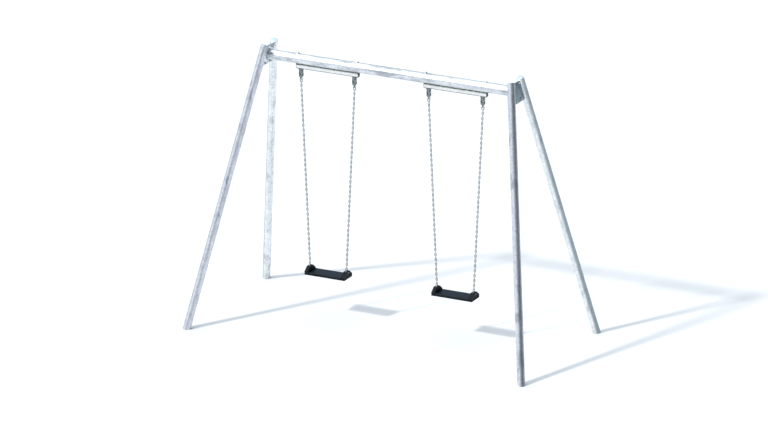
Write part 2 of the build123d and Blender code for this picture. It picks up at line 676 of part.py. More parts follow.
for side_name, side in sides:
    middle = side_middle(side_name)
    ends = [(middle + way * seat_chain_spacing / 2, way) for way in (-1, 1)]

    with BuildPart() as insert:
        with BuildSketch(Plane.XY.offset(insert_bottom)):
            with Locations((middle, 0)):
                Rectangle(insert_length, insert_width)
            with Locations(*[(x, 0) for x, way in ends]):
                with GridLocations(0, rivet_spacing, 1, 2):
                    Circle(rivet_diameter / 2, mode=Mode.SUBTRACT)
        extrude(amount=insert_thickness)
    save(insert, f"{side_name}_seat_insert")

    with BuildPart() as brackets:
        for x, way in ends:
            with BuildSketch(Plane.XZ) as channel:
                with Locations((x, insert_top)):
                    height = pin_height + bracket_top_radius - insert_top
                    Rectangle(bracket_width, height, align=(Align.CENTER, Align.MIN))
                with Locations((x, insert_top + bracket_base_height)):
                    Rectangle(bracket_slot, height, align=(Align.CENTER, Align.MIN), mode=Mode.SUBTRACT)
            extrude(amount=bracket_depth / 2, both=True)
        with BuildSketch(Plane.YZ.offset(middle)):
            with Locations((0, insert_top)):
                Rectangle(bracket_depth, 1, align=(Align.CENTER, Align.MIN))
            with Locations((0, pin_height)):
                Circle(bracket_top_radius)
            make_hull()
        extrude(amount=seat_length, both=True, mode=Mode.INTERSECT)
        with BuildSketch(Plane.YZ.offset(middle)):
            with Locations((0, pin_height)):
                Circle(seat_pin_diameter / 2)
        extrude(amount=seat_length, both=True, mode=Mode.SUBTRACT)
        with BuildSketch(Plane.XY.offset(insert_top)):
            with Locations(*[(x, 0) for x, way in ends]):
                with GridLocations(0, rivet_spacing, 1, 2):
                    Circle(rivet_diameter / 2)
        extrude(amount=bracket_base_height, mode=Mode.SUBTRACT)
    save(brackets, f"{side_name}_seat_brackets")

    with BuildPart() as rivets:
        rivet_run = insert_thickness + bracket_base_height
        with Locations(*[(x, 0, 0) for x, way in ends]):
            with GridLocations(0, rivet_spacing, 1, 2):
                with Locations((0, 0, insert_bottom)):
                    Cylinder(rivet_diameter / 2, rivet_run, align=(Align.CENTER, Align.CENTER, Align.MIN))
                    heads_down = (Align.CENTER, Align.CENTER, Align.MAX)
                    Cylinder(rivet_head_diameter / 2, rivet_head_thickness, align=heads_down)
    save(rivets, f"{side_name}_seat_rivets")

    with BuildPart() as seat_pins:
        for x, way in ends:
            with BuildSketch(Plane.YZ.offset(x - way * pin_inner_end)):
                with Locations((0, pin_height)):
                    Circle(seat_pin_diameter / 2)
            extrude(amount=way * (pin_inner_end + block_width / 2 - seat_pin_head_recess))
            with BuildSketch(Plane.YZ.offset(x + way * (block_width / 2 - seat_pin_head_recess))):
                with Locations((0, pin_height)):
                    Circle(seat_pin_head_diameter / 2)
            extrude(amount=-way * seat_pin_head_thickness)
    save(seat_pins, f"{side_name}_seat_pins")

    with BuildPart() as rubber:
        for x, way in ends:
            with BuildSketch(Plane.YZ.offset(x - block_width / 2)):
                with BuildLine():
                    Polyline(*block_profile, close=True)
                make_face()
            extrude(amount=block_width)
        outside = rubber.edges().filter_by(Axis.X).sort_by(Axis.Z)[4:]
        fillet(outside, seat_edge_radius)
        with BuildSketch(Plane.YZ.offset(middle)) as plate_profile:
            with Locations((0, seat_bottom)):
                Rectangle(seat_depth, seat_thickness, align=(Align.CENTER, Align.MIN))
            with BuildLine(mode=Mode.PRIVATE) as dish_line:
                lip = seat_depth / 2 - seat_lip_width
                top_line = seat_bottom + seat_thickness
                SagittaArc((-lip, top_line), (lip, top_line), seat_dish_depth)
                Line((lip, top_line), (-lip, top_line))
            make_face(dish_line.edges(), mode=Mode.SUBTRACT)
        extrude(amount=seat_chain_spacing / 2, both=True)
        # room for the chain's last links, flared so that the seat can tip
        for x, way in ends:
            with BuildSketch(Plane.YZ.offset(x)):
                with Locations((0, pin_height)):
                    Circle(link_room)
                with BuildLine():
                    Polyline(
                        (-flare_start, flare_bottom),
                        (-flare_end, flare_top),
                        (flare_end, flare_top),
                        (flare_start, flare_bottom),
                        close=True,
                    )
                make_face()
            extrude(amount=bracket_width / 2, both=True, mode=Mode.SUBTRACT)
        add(insert.part, mode=Mode.SUBTRACT)
        add(seat_pins.part, mode=Mode.SUBTRACT)
        add(rivets.part, mode=Mode.SUBTRACT)
        for x, way in ends:
            with BuildSketch(Plane.YZ.offset(x)):
                with Locations((0, insert_top)):
                    height = pin_height - insert_top
                    Rectangle(bracket_depth, height, align=(Align.CENTER, Align.MIN))
                with Locations((0, pin_height)):
                    Circle(bracket_top_radius)
            extrude(amount=bracket_width / 2, both=True, mode=Mode.SUBTRACT)
    save(rubber, f"{side_name}_seat")

print("links in each chain:", link_count)
print("seat underside", round(seat_bottom, 2), "seat pin", round(pin_height, 2), "pivot", pivot_height)
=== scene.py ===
"""Looks for a two-bay swing set: galvanised frame, stainless bars, zinc chains, rubber seats.

Lengths are in metres. X runs along the crossbeam, Y from front to rear, Z up from the ground.
Tubes, plates, bars, fasteners, chains and seats are surfaces worked out on grids of two parameters.
Castings, shackles and pins are the plain shapes with their edges eased. All sit where the frame says.
"""
import json
import math

import bmesh
import bpy
import numpy as np
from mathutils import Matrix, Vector


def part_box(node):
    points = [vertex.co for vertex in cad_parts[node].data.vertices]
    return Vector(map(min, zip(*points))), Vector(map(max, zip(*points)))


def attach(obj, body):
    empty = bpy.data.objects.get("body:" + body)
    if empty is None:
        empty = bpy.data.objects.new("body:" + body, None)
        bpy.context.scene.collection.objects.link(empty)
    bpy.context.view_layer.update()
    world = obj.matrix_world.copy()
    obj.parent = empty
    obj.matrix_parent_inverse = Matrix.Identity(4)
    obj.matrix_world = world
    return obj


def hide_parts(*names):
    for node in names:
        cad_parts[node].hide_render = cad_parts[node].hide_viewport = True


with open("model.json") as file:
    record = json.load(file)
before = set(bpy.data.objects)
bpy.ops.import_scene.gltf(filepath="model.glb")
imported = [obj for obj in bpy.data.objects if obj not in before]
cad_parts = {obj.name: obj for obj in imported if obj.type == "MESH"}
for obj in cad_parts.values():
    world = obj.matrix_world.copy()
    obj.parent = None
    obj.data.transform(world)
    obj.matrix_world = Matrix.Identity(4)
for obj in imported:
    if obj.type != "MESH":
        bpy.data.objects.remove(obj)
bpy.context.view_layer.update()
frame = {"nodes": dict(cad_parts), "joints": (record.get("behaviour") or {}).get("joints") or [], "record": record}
nodes = frame["nodes"]
joints = {joint["name"]: joint for joint in frame["joints"]}
SIDES = (("left", -1), ("right", 1))
PLACES = ("outer", "inner")
MM = 0.001

# tubes
LEG_WALL, BEAM_WALL = 3.6 * MM, 4 * MM
SEAM_HEIGHT = 0.3 * MM
CAP_PLAY = 0.3 * MM
BEAM_WELD = 3.6 * MM

# gusset and beam flange; heights are up the A-frame from the beam's axis, depths from its plane
GUSSET = 10 * MM
GUSSET_TOP, GUSSET_BOTTOM = 94 * MM, -103 * MM
FLANGE_FACE = -13 * MM
FLANGE_INSET, FLANGE_LEG_GAP, FLANGE_CORNER = 3 * MM, 4 * MM, 8 * MM

# M12 bolts that hold the flange on the gusset
BOLT_ROWS = (72 * MM, -79 * MM)
BOLT_FROM_LEG = 19 * MM
BOLT_RADIUS, BOLT_PITCH, BOLT_END = 6 * MM, 1.75 * MM, 15 * MM
BOLT_FLATS, BOLT_HEAD, NUT_HEIGHT = 18 * MM, 7.5 * MM, 10 * MM
WASHER_BORE, WASHER_RADIUS, WASHER = 6.4 * MM, 12 * MM, 2.5 * MM

# M10 bolts and cap nuts that hold the hanger bars under the beam
BAR_BOLT_INSET = 13 * MM  # from the bar's cut end
BAR_BOLT_RADIUS, BAR_BOLT_FLATS, BAR_BOLT_HEAD = 5 * MM, 16 * MM, 6.4 * MM
CAP_NUT_HEX, CAP_NUT_DOME_RADIUS = 9 * MM, 6.8 * MM
BAR_CORNER = 4 * MM

# seat: end blocks with a shoulder, a dished plate, and a pocket round each chain's last links
BLOCK, SHOULDER, BLOCK_FLAT_HALF = 40 * MM, 36 * MM, 32 * MM
PLATE_THICKNESS, DISH, LIP = 27 * MM, 3 * MM, 12 * MM
POCKET_HALF, POCKET_ROUND, POCKET_TILT = 12.5 * MM, 12.5 * MM, math.radians(35)
RIB_PITCH, HOLLOW, HOLLOW_LENGTH, HOLLOW_WIDTH = 12 * MM, 4 * MM, 55 * MM, 50 * MM

# chain
CHAIN_WIRE, LINK_WIDTH, LINK_PLAY, CHAIN_PITCH = 6 * MM, 9 * MM, 0.3 * MM, 25 * MM


# ---------- places read from the frame ----------

def box(node):
    """A node's lowest and highest corners as arrays."""
    low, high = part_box(node)
    return np.array(low), np.array(high)


def unit(vector):
    """The vector at length one."""
    vector = np.asarray(vector, float)
    return vector / np.linalg.norm(vector)


def leg_line(node, foot):
    """Foot, top and radius of a leg from its box and the middle of its foot.

    The box passes the foot by radius * sqrt(1 + slope^2) along X, and passes the top by
    radius * sqrt(1 - along^2) on each axis. Each gives the other, so a few rounds settle both.
    """
    low, high = box(node)
    sign = np.sign(foot[:2])
    outer = np.where(sign > 0, high[:2], -low[:2])
    inner = np.where(sign > 0, low[:2], -high[:2])
    corner = np.array([*inner, high[2]])
    top = corner
    for _ in range(6):
        along = unit(top - np.abs(foot))
        radius = (outer[0] - abs(foot[0])) / math.sqrt(1 + (along[0] / along[2]) ** 2)
        top = corner + radius * np.array([1, 1, -1]) * np.sqrt(1 - along**2)
    return np.array(foot), top * np.array([*sign, 1]), radius


feet = {mount["name"]: mount["pos_m"] for mount in frame["record"]["mounts"]}
legs = {
    f"{depth}_{side}_leg": leg_line(f"{depth}_{side}_leg", feet[f"{depth}_{side}_foot"])
    for depth in ("front", "rear")
    for side, _ in SIDES
}
beam_low, beam_high = box("crossbeam")
BEAM_RADIUS = (beam_high[2] - beam_low[2]) / 2
BEAM_HEIGHT = (beam_high[2] + beam_low[2]) / 2


def end_frame(side):
    """One A-frame's axes as columns (across, up the frame, outwards) and its middle at the beam."""
    foot, top, _ = legs["front_right_leg"]
    lean = math.atan((foot[0] - top[0]) / (top[2] - foot[2]))
    across = np.array([0, side, 0.0])
    up = np.array([-side * math.sin(lean), 0, math.cos(lean)])
    out = np.array([side * math.cos(lean), 0, math.sin(lean)])
    middle = np.array([side * (foot[0] - BEAM_HEIGHT * math.tan(lean)), 0, BEAM_HEIGHT])
    return np.stack([across, up, out], axis=1), middle


# ---------- meshes ----------

def mesh_piece(name, points, faces, smooth=True, auto=None):
    """A mesh object from points and faces; auto is the angle past which an edge stays sharp."""
    mesh = bpy.data.meshes.new(name)
    mesh.from_pydata(np.asarray(points).tolist(), [], [list(map(int, face)) for face in faces])
    mesh.validate()
    mesh.polygons.foreach_set("use_smooth", np.full(len(mesh.polygons), smooth))
    if auto is not None:
        mesh.set_sharp_from_angle(angle=math.radians(auto))
    piece = bpy.data.objects.new(name, mesh)
    bpy.context.scene.collection.objects.link(piece)
    return piece


def grid_faces(rows, columns, wrap_rows=False, wrap_columns=False, start=0):
    """Quads of a grid of points stored row by row, wrapped round where asked."""
    i, j = np.meshgrid(
        np.arange(rows if wrap_rows else rows - 1),
        np.arange(columns if wrap_columns else columns - 1),
        indexing="ij",
    )
    i, j = i.ravel(), j.ravel()
    down, right = (i + 1) % rows, (j + 1) % columns
    quads = (i * columns + j, i * columns + right, down * columns + right, down * columns + j)
    return start + np.stack(quads, axis=1)


def joined(parts):
    """Several (points, faces) pairs as one pair."""
    points, faces, count = [], [], 0
    for some_points, some_faces in parts:
        points.append(np.asarray(some_points))
        faces += [[int(n) + count for n in face] for face in some_faces]
        count += len(some_points)
    return np.concatenate(points), faces


def placed(part, axes, origin):
    """A (points, faces) pair carried from its own axes to axes given as columns at an origin."""
    points, faces = part
    return np.asarray(points) @ np.asarray(axes).T + np.asarray(origin), faces


def turned(profile, count=48, shape=None):
    """A closed outline of (radius, height) pairs turned round Z: point = (r cos a, r sin a, h).

    shape(angle, radius, height) may change the radius, as flats on a hexagon do.
    """
    profile = np.asarray(profile, float)
    angle = np.linspace(0, 2 * math.pi, count, endpoint=False)
    radius = np.broadcast_to(profile[:, :1], (len(profile), count))
    height = np.broadcast_to(profile[:, 1:], (len(profile), count))
    if shape is not None:
        radius = shape(angle[None, :], radius, height)
    points = np.stack([radius * np.cos(angle), radius * np.sin(angle), height], axis=-1)
    faces = [list(face) for face in grid_faces(len(profile), count, wrap_columns=True)]
    faces.append(list(range(count))[::-1])
    last = (len(profile) - 1) * count
    faces.append([last + n for n in range(count)])
    return points.reshape(-1, 3), faces


def rounded_steps(corners, radius, steps=3):
    """An open outline through the corners with each inner corner eased by a short quadratic curve."""
    corners = np.asarray(corners, float)
    out = [corners[0]]
    for before, corner, after in zip(corners[:-2], corners[1:-1], corners[2:]):
        back, on = before - corner, after - corner
        reach = min(radius, 0.45 * np.linalg.norm(back), 0.45 * np.linalg.norm(on))
        start, end = corner + unit(back) * reach, corner + unit(on) * reach
        t = np.linspace(0, 1, steps + 1)[:, None]
        out += list((1 - t) ** 2 * start + 2 * t * (1 - t) * corner + t**2 * end)
    out.append(corners[-1])
    return np.array(out)


def hexagon(across_flats):
    """A shape for turned: the radius stays inside six flats, flat / cos(angle from its middle)."""
    def shape(angle, radius, height):
        wedge = np.mod(angle, math.pi / 3) - math.pi / 6
        return np.minimum(radius, across_flats / 2 / np.cos(wedge))
    return shape


def hex_head(across_flats, height):
    """A hexagon head: a turned outline with a chamfered top, held inside six flats."""
    corner = across_flats / math.sqrt(3)
    flat = across_flats / 2
    profile = rounded_steps(
        [(flat * 0.94, 0), (corner, 0), (corner, height - (corner - flat) * 0.8),
         (flat * 0.94, height)],
        0.4 * MM, 2)
    return turned(profile, 60, hexagon(across_flats))


def threaded_end(radius, length, pitch):
    """A bolt's end: the radius dips by a rounded thread once each pitch, and the tip is chamfered."""
    height = np.linspace(0, length, int(length / pitch * 8) + 1)
    ripple = radius - 0.32 * pitch * (1 - np.cos(2 * math.pi * height / pitch)) / 2
    tip = np.clip((height - (length - pitch)) / pitch, 0, 1)
    return turned(np.stack([ripple - tip * pitch * 0.5, height], axis=1), 24)


def frame_along(path, first):
    """Axes carried along a path: the tangent, and two directions square to it that turn with it."""
    tangent = np.gradient(path, axis=0)
    tangent /= np.linalg.norm(tangent, axis=1)[:, None]
    side = first - tangent * (tangent @ first)[:, None]
    side /= np.linalg.norm(side, axis=1)[:, None]
    return tangent, side, np.cross(tangent, side)


# ---------- materials ----------

def linear(code):
    """An sRGB hex colour as linear RGBA."""
    values = [int(code[n:n + 2], 16) / 255 for n in (1, 3, 5)]
    return (*[v / 12.92 if v <= 0.04045 else ((v + 0.055) / 1.055) ** 2.4 for v in values], 1)


class Finish:
    """A material and the small set of calls that lays out its nodes."""

    def __init__(self, name, **sockets):
        self.material = bpy.data.materials.new(name)
        self.material.use_nodes = True
        self.tree = self.material.node_tree
        self.shader = self.tree.nodes["Principled BSDF"]
        self.place = self.add("ShaderNodeTexCoord")
        for socket, value in sockets.items():
            self.shader.inputs[socket.replace("_", " ")].default_value = value

    def add(self, kind, links=(), **settings):
        """One node with its settings; links are (input, source node, output)."""
        node = self.tree.nodes.new(kind)
        for key, value in settings.items():
            if hasattr(node, key):
                setattr(node, key, value)
            else:
                node.inputs[key.replace("_", " ")].default_value = value
        for socket, source, output in links:
            self.tree.links.new(source.outputs[output], node.inputs[socket])
        return node

    def to_shader(self, socket, source, output):
        """Links an output to the main shader."""
        self.tree.links.new(source.outputs[output], self.shader.inputs[socket])

    def ramp(self, source, output, stops):
        """A colour ramp through (position, hex colour) stops."""
        node = self.add("ShaderNodeValToRGB", [("Fac", source, output)])
        elements = node.color_ramp.elements
        while len(elements) < len(stops):
            elements.new(0.5)
        for element, (position, code) in zip(elements, stops):
            element.position = position
            element.color = linear(code)
        return node


def galvanised_steel(name, stretch, light, middle, dark, seed, outward_shade=0.0):
    """Hot-dip galvanised tube: zinc frozen in spangles 10 to 25 mm wide, under cloudy grey patches
    drawn out along the tube as the bath ran off it, and a few darker runs half a hand wide.
    Bright zinc is smooth and the grey bloom matt. The sides that face away from the set's middle
    are painted a darker teal grey as painted shade, by the share given."""
    zinc = Finish(name, Metallic=0.92, Roughness=0.3)
    even = zinc.add("ShaderNodeMapping", [("Vector", zinc.place, "Object")],
                    Location=(seed, seed * 2, 0))
    drawn = zinc.add("ShaderNodeMapping", [("Vector", zinc.place, "Object")], Location=(seed, 0, seed),
                     Scale=stretch)
    spangle = zinc.add("ShaderNodeTexVoronoi", [("Vector", even, "Vector")], Scale=1 / 0.018)
    bloom = zinc.add("ShaderNodeTexNoise", [("Vector", drawn, "Vector")], Scale=1 / 0.05, Detail=5,
                     Roughness=0.62)
    grain = zinc.add("ShaderNodeTexNoise", [("Vector", even, "Vector")], Scale=1 / 0.004, Detail=3)
    cells = zinc.add("ShaderNodeSeparateColor", [("Color", spangle, "Color")])
    patches = zinc.ramp(bloom, "Fac", [(0.3, dark), (0.42, middle), (0.6, light)])
    crystals = zinc.ramp(cells, "Red", [(0.0, "#CDD2DA"), (0.5, "#EDF0F4"), (1.0, "#FFFFFF")])
    colour = zinc.add("ShaderNodeMix", data_type="RGBA", blend_type="MULTIPLY")
    colour.inputs["Factor"].default_value = 0.55
    zinc.tree.links.new(patches.outputs["Color"], colour.inputs[6])
    zinc.tree.links.new(crystals.outputs["Color"], colour.inputs[7])
    runs = zinc.add("ShaderNodeTexNoise", [("Vector", drawn, "Vector")], Scale=1 / 0.11, Detail=3)
    sparse = zinc.add("ShaderNodeMapRange", [("Value", runs, "Fac")], **{
        "From_Min": 0.6, "From_Max": 0.68, "To_Max": 0.6})
    marked = zinc.add("ShaderNodeMix", [("Factor", sparse, "Result"), (6, colour, 2)], data_type="RGBA")
    marked.inputs[7].default_value = linear("#8E929B")
    # painted shade: faces turned away from the set's middle along X are mixed towards a dark teal grey
    if outward_shade:
        faces = zinc.add("ShaderNodeNewGeometry")
        normal = zinc.add("ShaderNodeSeparateXYZ", [("Vector", faces, "Normal")])
        spot = zinc.add("ShaderNodeSeparateXYZ", [("Vector", zinc.place, "Object")])
        outward = zinc.add("ShaderNodeMath", [(0, normal, "X"), (1, spot, "X")], operation="MULTIPLY")
        share = zinc.add("ShaderNodeMapRange", [("Value", outward, "Value")], **{
            "From_Min": 0.6, "From_Max": 1.25, "To_Max": outward_shade})
        base = zinc.add("ShaderNodeMix", [("Factor", share, "Result"), (6, marked, 2)],
                        data_type="RGBA")
        base.inputs[7].default_value = linear("#6A7C85")
    else:
        base = marked
    zinc.to_shader("Base Color", base, 2)
    matt = zinc.add("ShaderNodeMapRange", [("Value", bloom, "Fac")], **{
        "From_Min": 0.3, "From_Max": 0.65, "To_Min": 0.44, "To_Max": 0.24})
    zinc.to_shader("Roughness", matt, "Result")
    relief = zinc.add("ShaderNodeMath", [(0, cells, "Green"), (1, grain, "Fac")], operation="ADD")
    bump = zinc.add("ShaderNodeBump", [("Height", relief, "Value")], Strength=0.22, Distance=0.0004)
    zinc.to_shader("Normal", bump, "Normal")
    return zinc.material


def brushed_metal(name, light, dark, edge_shade, roughness, grain_scale, middle_z, half_face):
    """Stainless steel brushed lengthwise: fine scratches along the bar, drawn 1 mm apart so that
    they show, over a faint cloudiness. Only the flat front and rear are brushed; the top, the
    underside and the rounded corners are painted dark grey: painted shade under the beam above
    and a painted dark reflection below."""
    steel = Finish(name, Metallic=1.0, Roughness=roughness)
    drawn = steel.add("ShaderNodeMapping", [("Vector", steel.place, "Object")], Scale=grain_scale)
    scratches = steel.add("ShaderNodeTexNoise", [("Vector", drawn, "Vector")], Scale=1000, Detail=3)
    cloud = steel.add("ShaderNodeTexNoise", [("Vector", steel.place, "Object")], Scale=30, Detail=4)
    colour = steel.ramp(cloud, "Fac", [(0.3, dark), (0.7, light)])
    place = steel.add("ShaderNodeSeparateXYZ", [("Vector", steel.place, "Object")])
    height = steel.add("ShaderNodeMath", [(0, place, "Z")], operation="SUBTRACT")
    height.inputs[1].default_value = middle_z
    away = steel.add("ShaderNodeMath", [(0, height, "Value")], operation="ABSOLUTE")
    # painted shade: above and below the flat faces the colour goes to the dark grey given
    shaded_band = steel.add("ShaderNodeMapRange", [("Value", away, "Value")], **{
        "From_Min": half_face, "From_Max": half_face + 1 * MM})
    finish = steel.add("ShaderNodeMix", [("Factor", shaded_band, "Result"), (6, colour, "Color")],
                       data_type="RGBA")
    finish.inputs[7].default_value = linear(edge_shade)
    steel.to_shader("Base Color", finish, 2)
    rough = steel.add("ShaderNodeMapRange", [("Value", scratches, "Fac")], **{
        "To_Min": roughness - 0.08, "To_Max": roughness + 0.1})
    steel.to_shader("Roughness", rough, "Result")
    bump = steel.add("ShaderNodeBump", [("Height", scratches, "Fac")], Strength=0.15, Distance=0.0001)
    steel.to_shader("Normal", bump, "Normal")
    return steel.material


def speckled(name, light, dark, roughness, metallic, size, relief, **sockets):
    """A cast, plated or moulded finish: colour that varies over patches a few grains wide, and an
    orange-peel relief at the grain's own size."""
    finish = Finish(name, Metallic=metallic, Roughness=roughness, **sockets)
    patches = finish.add("ShaderNodeTexNoise", [("Vector", finish.place, "Object")], Scale=0.3 / size,
                         Detail=6, Roughness=0.65)
    peel = finish.add("ShaderNodeTexNoise", [("Vector", finish.place, "Object")], Scale=1 / size,
                      Detail=2)
    colour = finish.ramp(patches, "Fac", [(0.3, dark), (0.68, light)])
    finish.to_shader("Base Color", colour, "Color")
    rough = finish.add("ShaderNodeMapRange", [("Value", patches, "Fac")], **{
        "To_Min": min(roughness + 0.1, 1), "To_Max": max(roughness - 0.1, 0.05)})
    finish.to_shader("Roughness", rough, "Result")
    bump = finish.add("ShaderNodeBump", [("Height", peel, "Fac")], Strength=0.3, Distance=relief)
    finish.to_shader("Normal", bump, "Normal")
    return finish.material


ALONG_LEG, ALONG_BEAM, EVEN = (1, 1, 0.35), (0.3, 1, 1), (1, 1, 1)
# painted light and shade: front and rear legs are one zinc, but the front legs get darker lilac greys and the rear
# legs lighter ones
FRONT_ZINC_SHADED = galvanised_steel("galvanised_front_legs_shaded", ALONG_LEG, "#DEE0E5", "#CFD1D8", "#A9ADB6", 0.3,
                              0.45)
REAR_ZINC_LIT = galvanised_steel("galvanised_rear_legs_lit", ALONG_LEG, "#F3F5F5", "#E6E9E9", "#CACED0", 2.9,
                             0.75)
BEAM_ZINC = galvanised_steel("galvanised_beam_tube", ALONG_BEAM, "#E6E8E9", "#D3D6D9", "#A3A8AC", 1.7)
PLATE_ZINC = galvanised_steel("galvanised_plates", EVEN, "#E0E6EA", "#CDD5DB", "#B0BAC2", 4.1, 0.92)
WELD_ZINC = speckled("galvanised_weld_bead", "#C9CFD6", "#9AA3AD", 0.5, 0.8, 3 * MM, 0.4 * MM)
# painted reflection: the caps' light blue tint stands for the sky they reflect
CAP_METAL = speckled("pressed_zinc_cap", "#CFDBE7", "#B3C4D4", 0.45, 0.7, 6 * MM, 0.1 * MM)
bar_low, bar_high = box("left_hanger_bar")
# the dark grey is painted shade on the bar's top, underside and corners
BAR_STEEL = brushed_metal("brushed_stainless_bar", "#EDEDEB", "#DADBDA", "#5F6564", 0.26, (0.03, 1, 1),
                          (bar_low[2] + bar_high[2]) / 2, (bar_high[2] - bar_low[2]) / 2 - 7 * MM)
SHACKLE_ZINC = speckled("zinc_plated_shackle", "#94989A", "#62676A", 0.3, 0.9, 2 * MM, 0.1 * MM)
BOLT_ZINC = speckled("zinc_plated_fastener", "#D2D6DA", "#A4AAB0", 0.34, 0.95, 2 * MM, 0.05 * MM)
CASTING = speckled("dark_powder_coated_casting", "#6C7676", "#566060", 0.55, 0.0, 1.2 * MM, 0.15 * MM)
CAP_PLASTIC = speckled("moulded_dark_polyamide", "#474B4B", "#303434", 0.5, 0.0, 1 * MM, 0.08 * MM)
PAD_RUBBER = speckled("moulded_pad_rubber", "#2B2D2E", "#1A1B1C", 0.75, 0.0, 1 * MM, 0.1 * MM)
BRONZE = speckled("sintered_bronze", "#A98654", "#80613A", 0.45, 1.0, 0.8 * MM, 0.05 * MM)
SEAT_STEEL = speckled("zinc_plated_seat_steel", "#A5A9AC", "#7A7F83", 0.42, 0.9, 2 * MM, 0.05 * MM)


def seat_rubber():
    """Compression-moulded black EPDM: a fine pebble texture, drawn 2.6 mm across so that it shows,
    and a dusty bloom. The dished face is smoother and painted blue-grey, a painted sheen of the sky:
    a point attribute is 1 there and 0 on the ends and sides, which stay matt black."""
    rubber = Finish("moulded_seat_rubber", Roughness=0.5, IOR=1.5, Specular_IOR_Level=0.12)
    pebble = rubber.add("ShaderNodeTexVoronoi", [("Vector", rubber.place, "Object")], Scale=1 / 0.0026)
    dust = rubber.add("ShaderNodeTexNoise", [("Vector", rubber.place, "Object")], Scale=22, Detail=7,
                      Roughness=0.7)
    # painted sheen: this point attribute marks the dished face, whose colour goes blue-grey
    painted_sheen = rubber.add("ShaderNodeAttribute", attribute_name="painted_sheen")
    black = rubber.ramp(dust, "Fac", [(0.3, "#07090A"), (0.6, "#101314"), (0.8, "#1B1F21")])
    sheen = rubber.ramp(dust, "Fac", [(0.3, "#0A1219"), (0.6, "#12202C"), (0.8, "#1F303E")])
    colour = rubber.add("ShaderNodeMix", [("Factor", painted_sheen, "Fac"), (6, black, "Color"),
                                          (7, sheen, "Color")], data_type="RGBA")
    rubber.to_shader("Base Color", colour, 2)
    rough = rubber.add("ShaderNodeMapRange", [("Value", painted_sheen, "Fac")], **{
        "To_Min": 0.6, "To_Max": 0.4})
    rubber.to_shader("Roughness", rough, "Result")
    bump = rubber.add("ShaderNodeBump", [("Height", pebble, "Distance")], Strength=0.35,
                      Distance=0.0004)
    rubber.to_shader("Normal", bump, "Normal")
    return rubber.material


SEAT_RUBBER = seat_rubber()


def chain_zinc():
    """Zinc-plated steel chain. Every second link, the one turned a quarter, is painted darker greys
    as painted shade: a point attribute is 1 on those links."""
    zinc = Finish("zinc_plated_chain", Metallic=0.85, Roughness=0.32)
    patches = zinc.add("ShaderNodeTexNoise", [("Vector", zinc.place, "Object")], Scale=150, Detail=5)
    # painted shade: the marked links are mixed to the darker greys
    shaded_link = zinc.add("ShaderNodeAttribute", attribute_name="shaded_link")
    bright = zinc.ramp(patches, "Fac", [(0.3, "#B9BCBE"), (0.7, "#D9DBDC")])
    shaded_tone = zinc.ramp(patches, "Fac", [(0.3, "#45494B"), (0.7, "#5E6264")])
    colour = zinc.add("ShaderNodeMix", [("Factor", shaded_link, "Fac"), (6, bright, "Color"),
                                        (7, shaded_tone, "Color")], data_type="RGBA")
    zinc.to_shader("Base Color", colour, 2)
    rough = zinc.add("ShaderNodeMapRange", [("Value", patches, "Fac")], **{
        "To_Min": 0.28, "To_Max": 0.42})
    zinc.to_shader("Roughness", rough, "Result")
    bump = zinc.add("ShaderNodeBump", [("Height", patches, "Fac")], Strength=0.2, Distance=0.0001)
    zinc.to_shader("Normal", bump, "Normal")
    return zinc.material


CHAIN_ZINC = chain_zinc()


def dress(piece, material, body, slot, *replaced):
    """Gives a piece its material and body, and hides the plain nodes it stands for."""
    piece.data.materials.append(material)
    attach(piece, body)
    if replaced:
        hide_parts(*replaced)


# ---------- tubes ----------

def tube(start, end, radius, wall, cut_start=None, cut_end=None, count=96, rows=9, seam_at=math.pi):
    """A hollow tube: four walls (outer, end ring, bore, end ring) as one closed grid.

    Each lengthwise line runs from one end to the other and is cut where it meets the plane given
    as (point, normal), so that an end may be square or slanted. The long seam is a low bead on the
    outside, SEAM_HEIGHT * exp(-(1 - cos a) / 0.0013) at an angle a from it.
    """
    along = unit(end - start)
    first = unit(np.cross(along, [0, 1, 0.01]))
    second = np.cross(along, first)
    angle = np.linspace(0, 2 * math.pi, count, endpoint=False)
    round_ = np.cos(angle)[:, None] * first + np.sin(angle)[:, None] * second
    seam = SEAM_HEIGHT * np.exp(-((1 - np.cos(angle - seam_at)) / 0.0013))
    length = np.linalg.norm(end - start)
    ease = 0.8 * MM
    rings = []
    walls = [(radius - ease, 0, 0), (radius, 0, ease)]
    walls += [(radius, n / rows, 0) for n in range(1, rows)]
    walls += [(radius, 1, -ease), (radius - ease, 1, 0), (radius - wall, 1, 0), (radius - wall, 0, 0)]
    for ring_radius, share, shift in walls:
        extra = seam if ring_radius == radius else 0 * seam
        spoke = round_ * (ring_radius + extra)[:, None]
        low, high = np.zeros(count), np.full(count, length)
        if cut_start is not None:
            low = ((cut_start[0] - start - spoke) @ cut_start[1]) / (along @ cut_start[1])
        if cut_end is not None:
            high = ((cut_end[0] - start - spoke) @ cut_end[1]) / (along @ cut_end[1])
        rings.append(start + spoke + (low + (high - low) * share + shift)[:, None] * along)
    points = np.stack(rings)
    return points.reshape(-1, 3), grid_faces(len(rings), count, True, True)[:, ::-1]


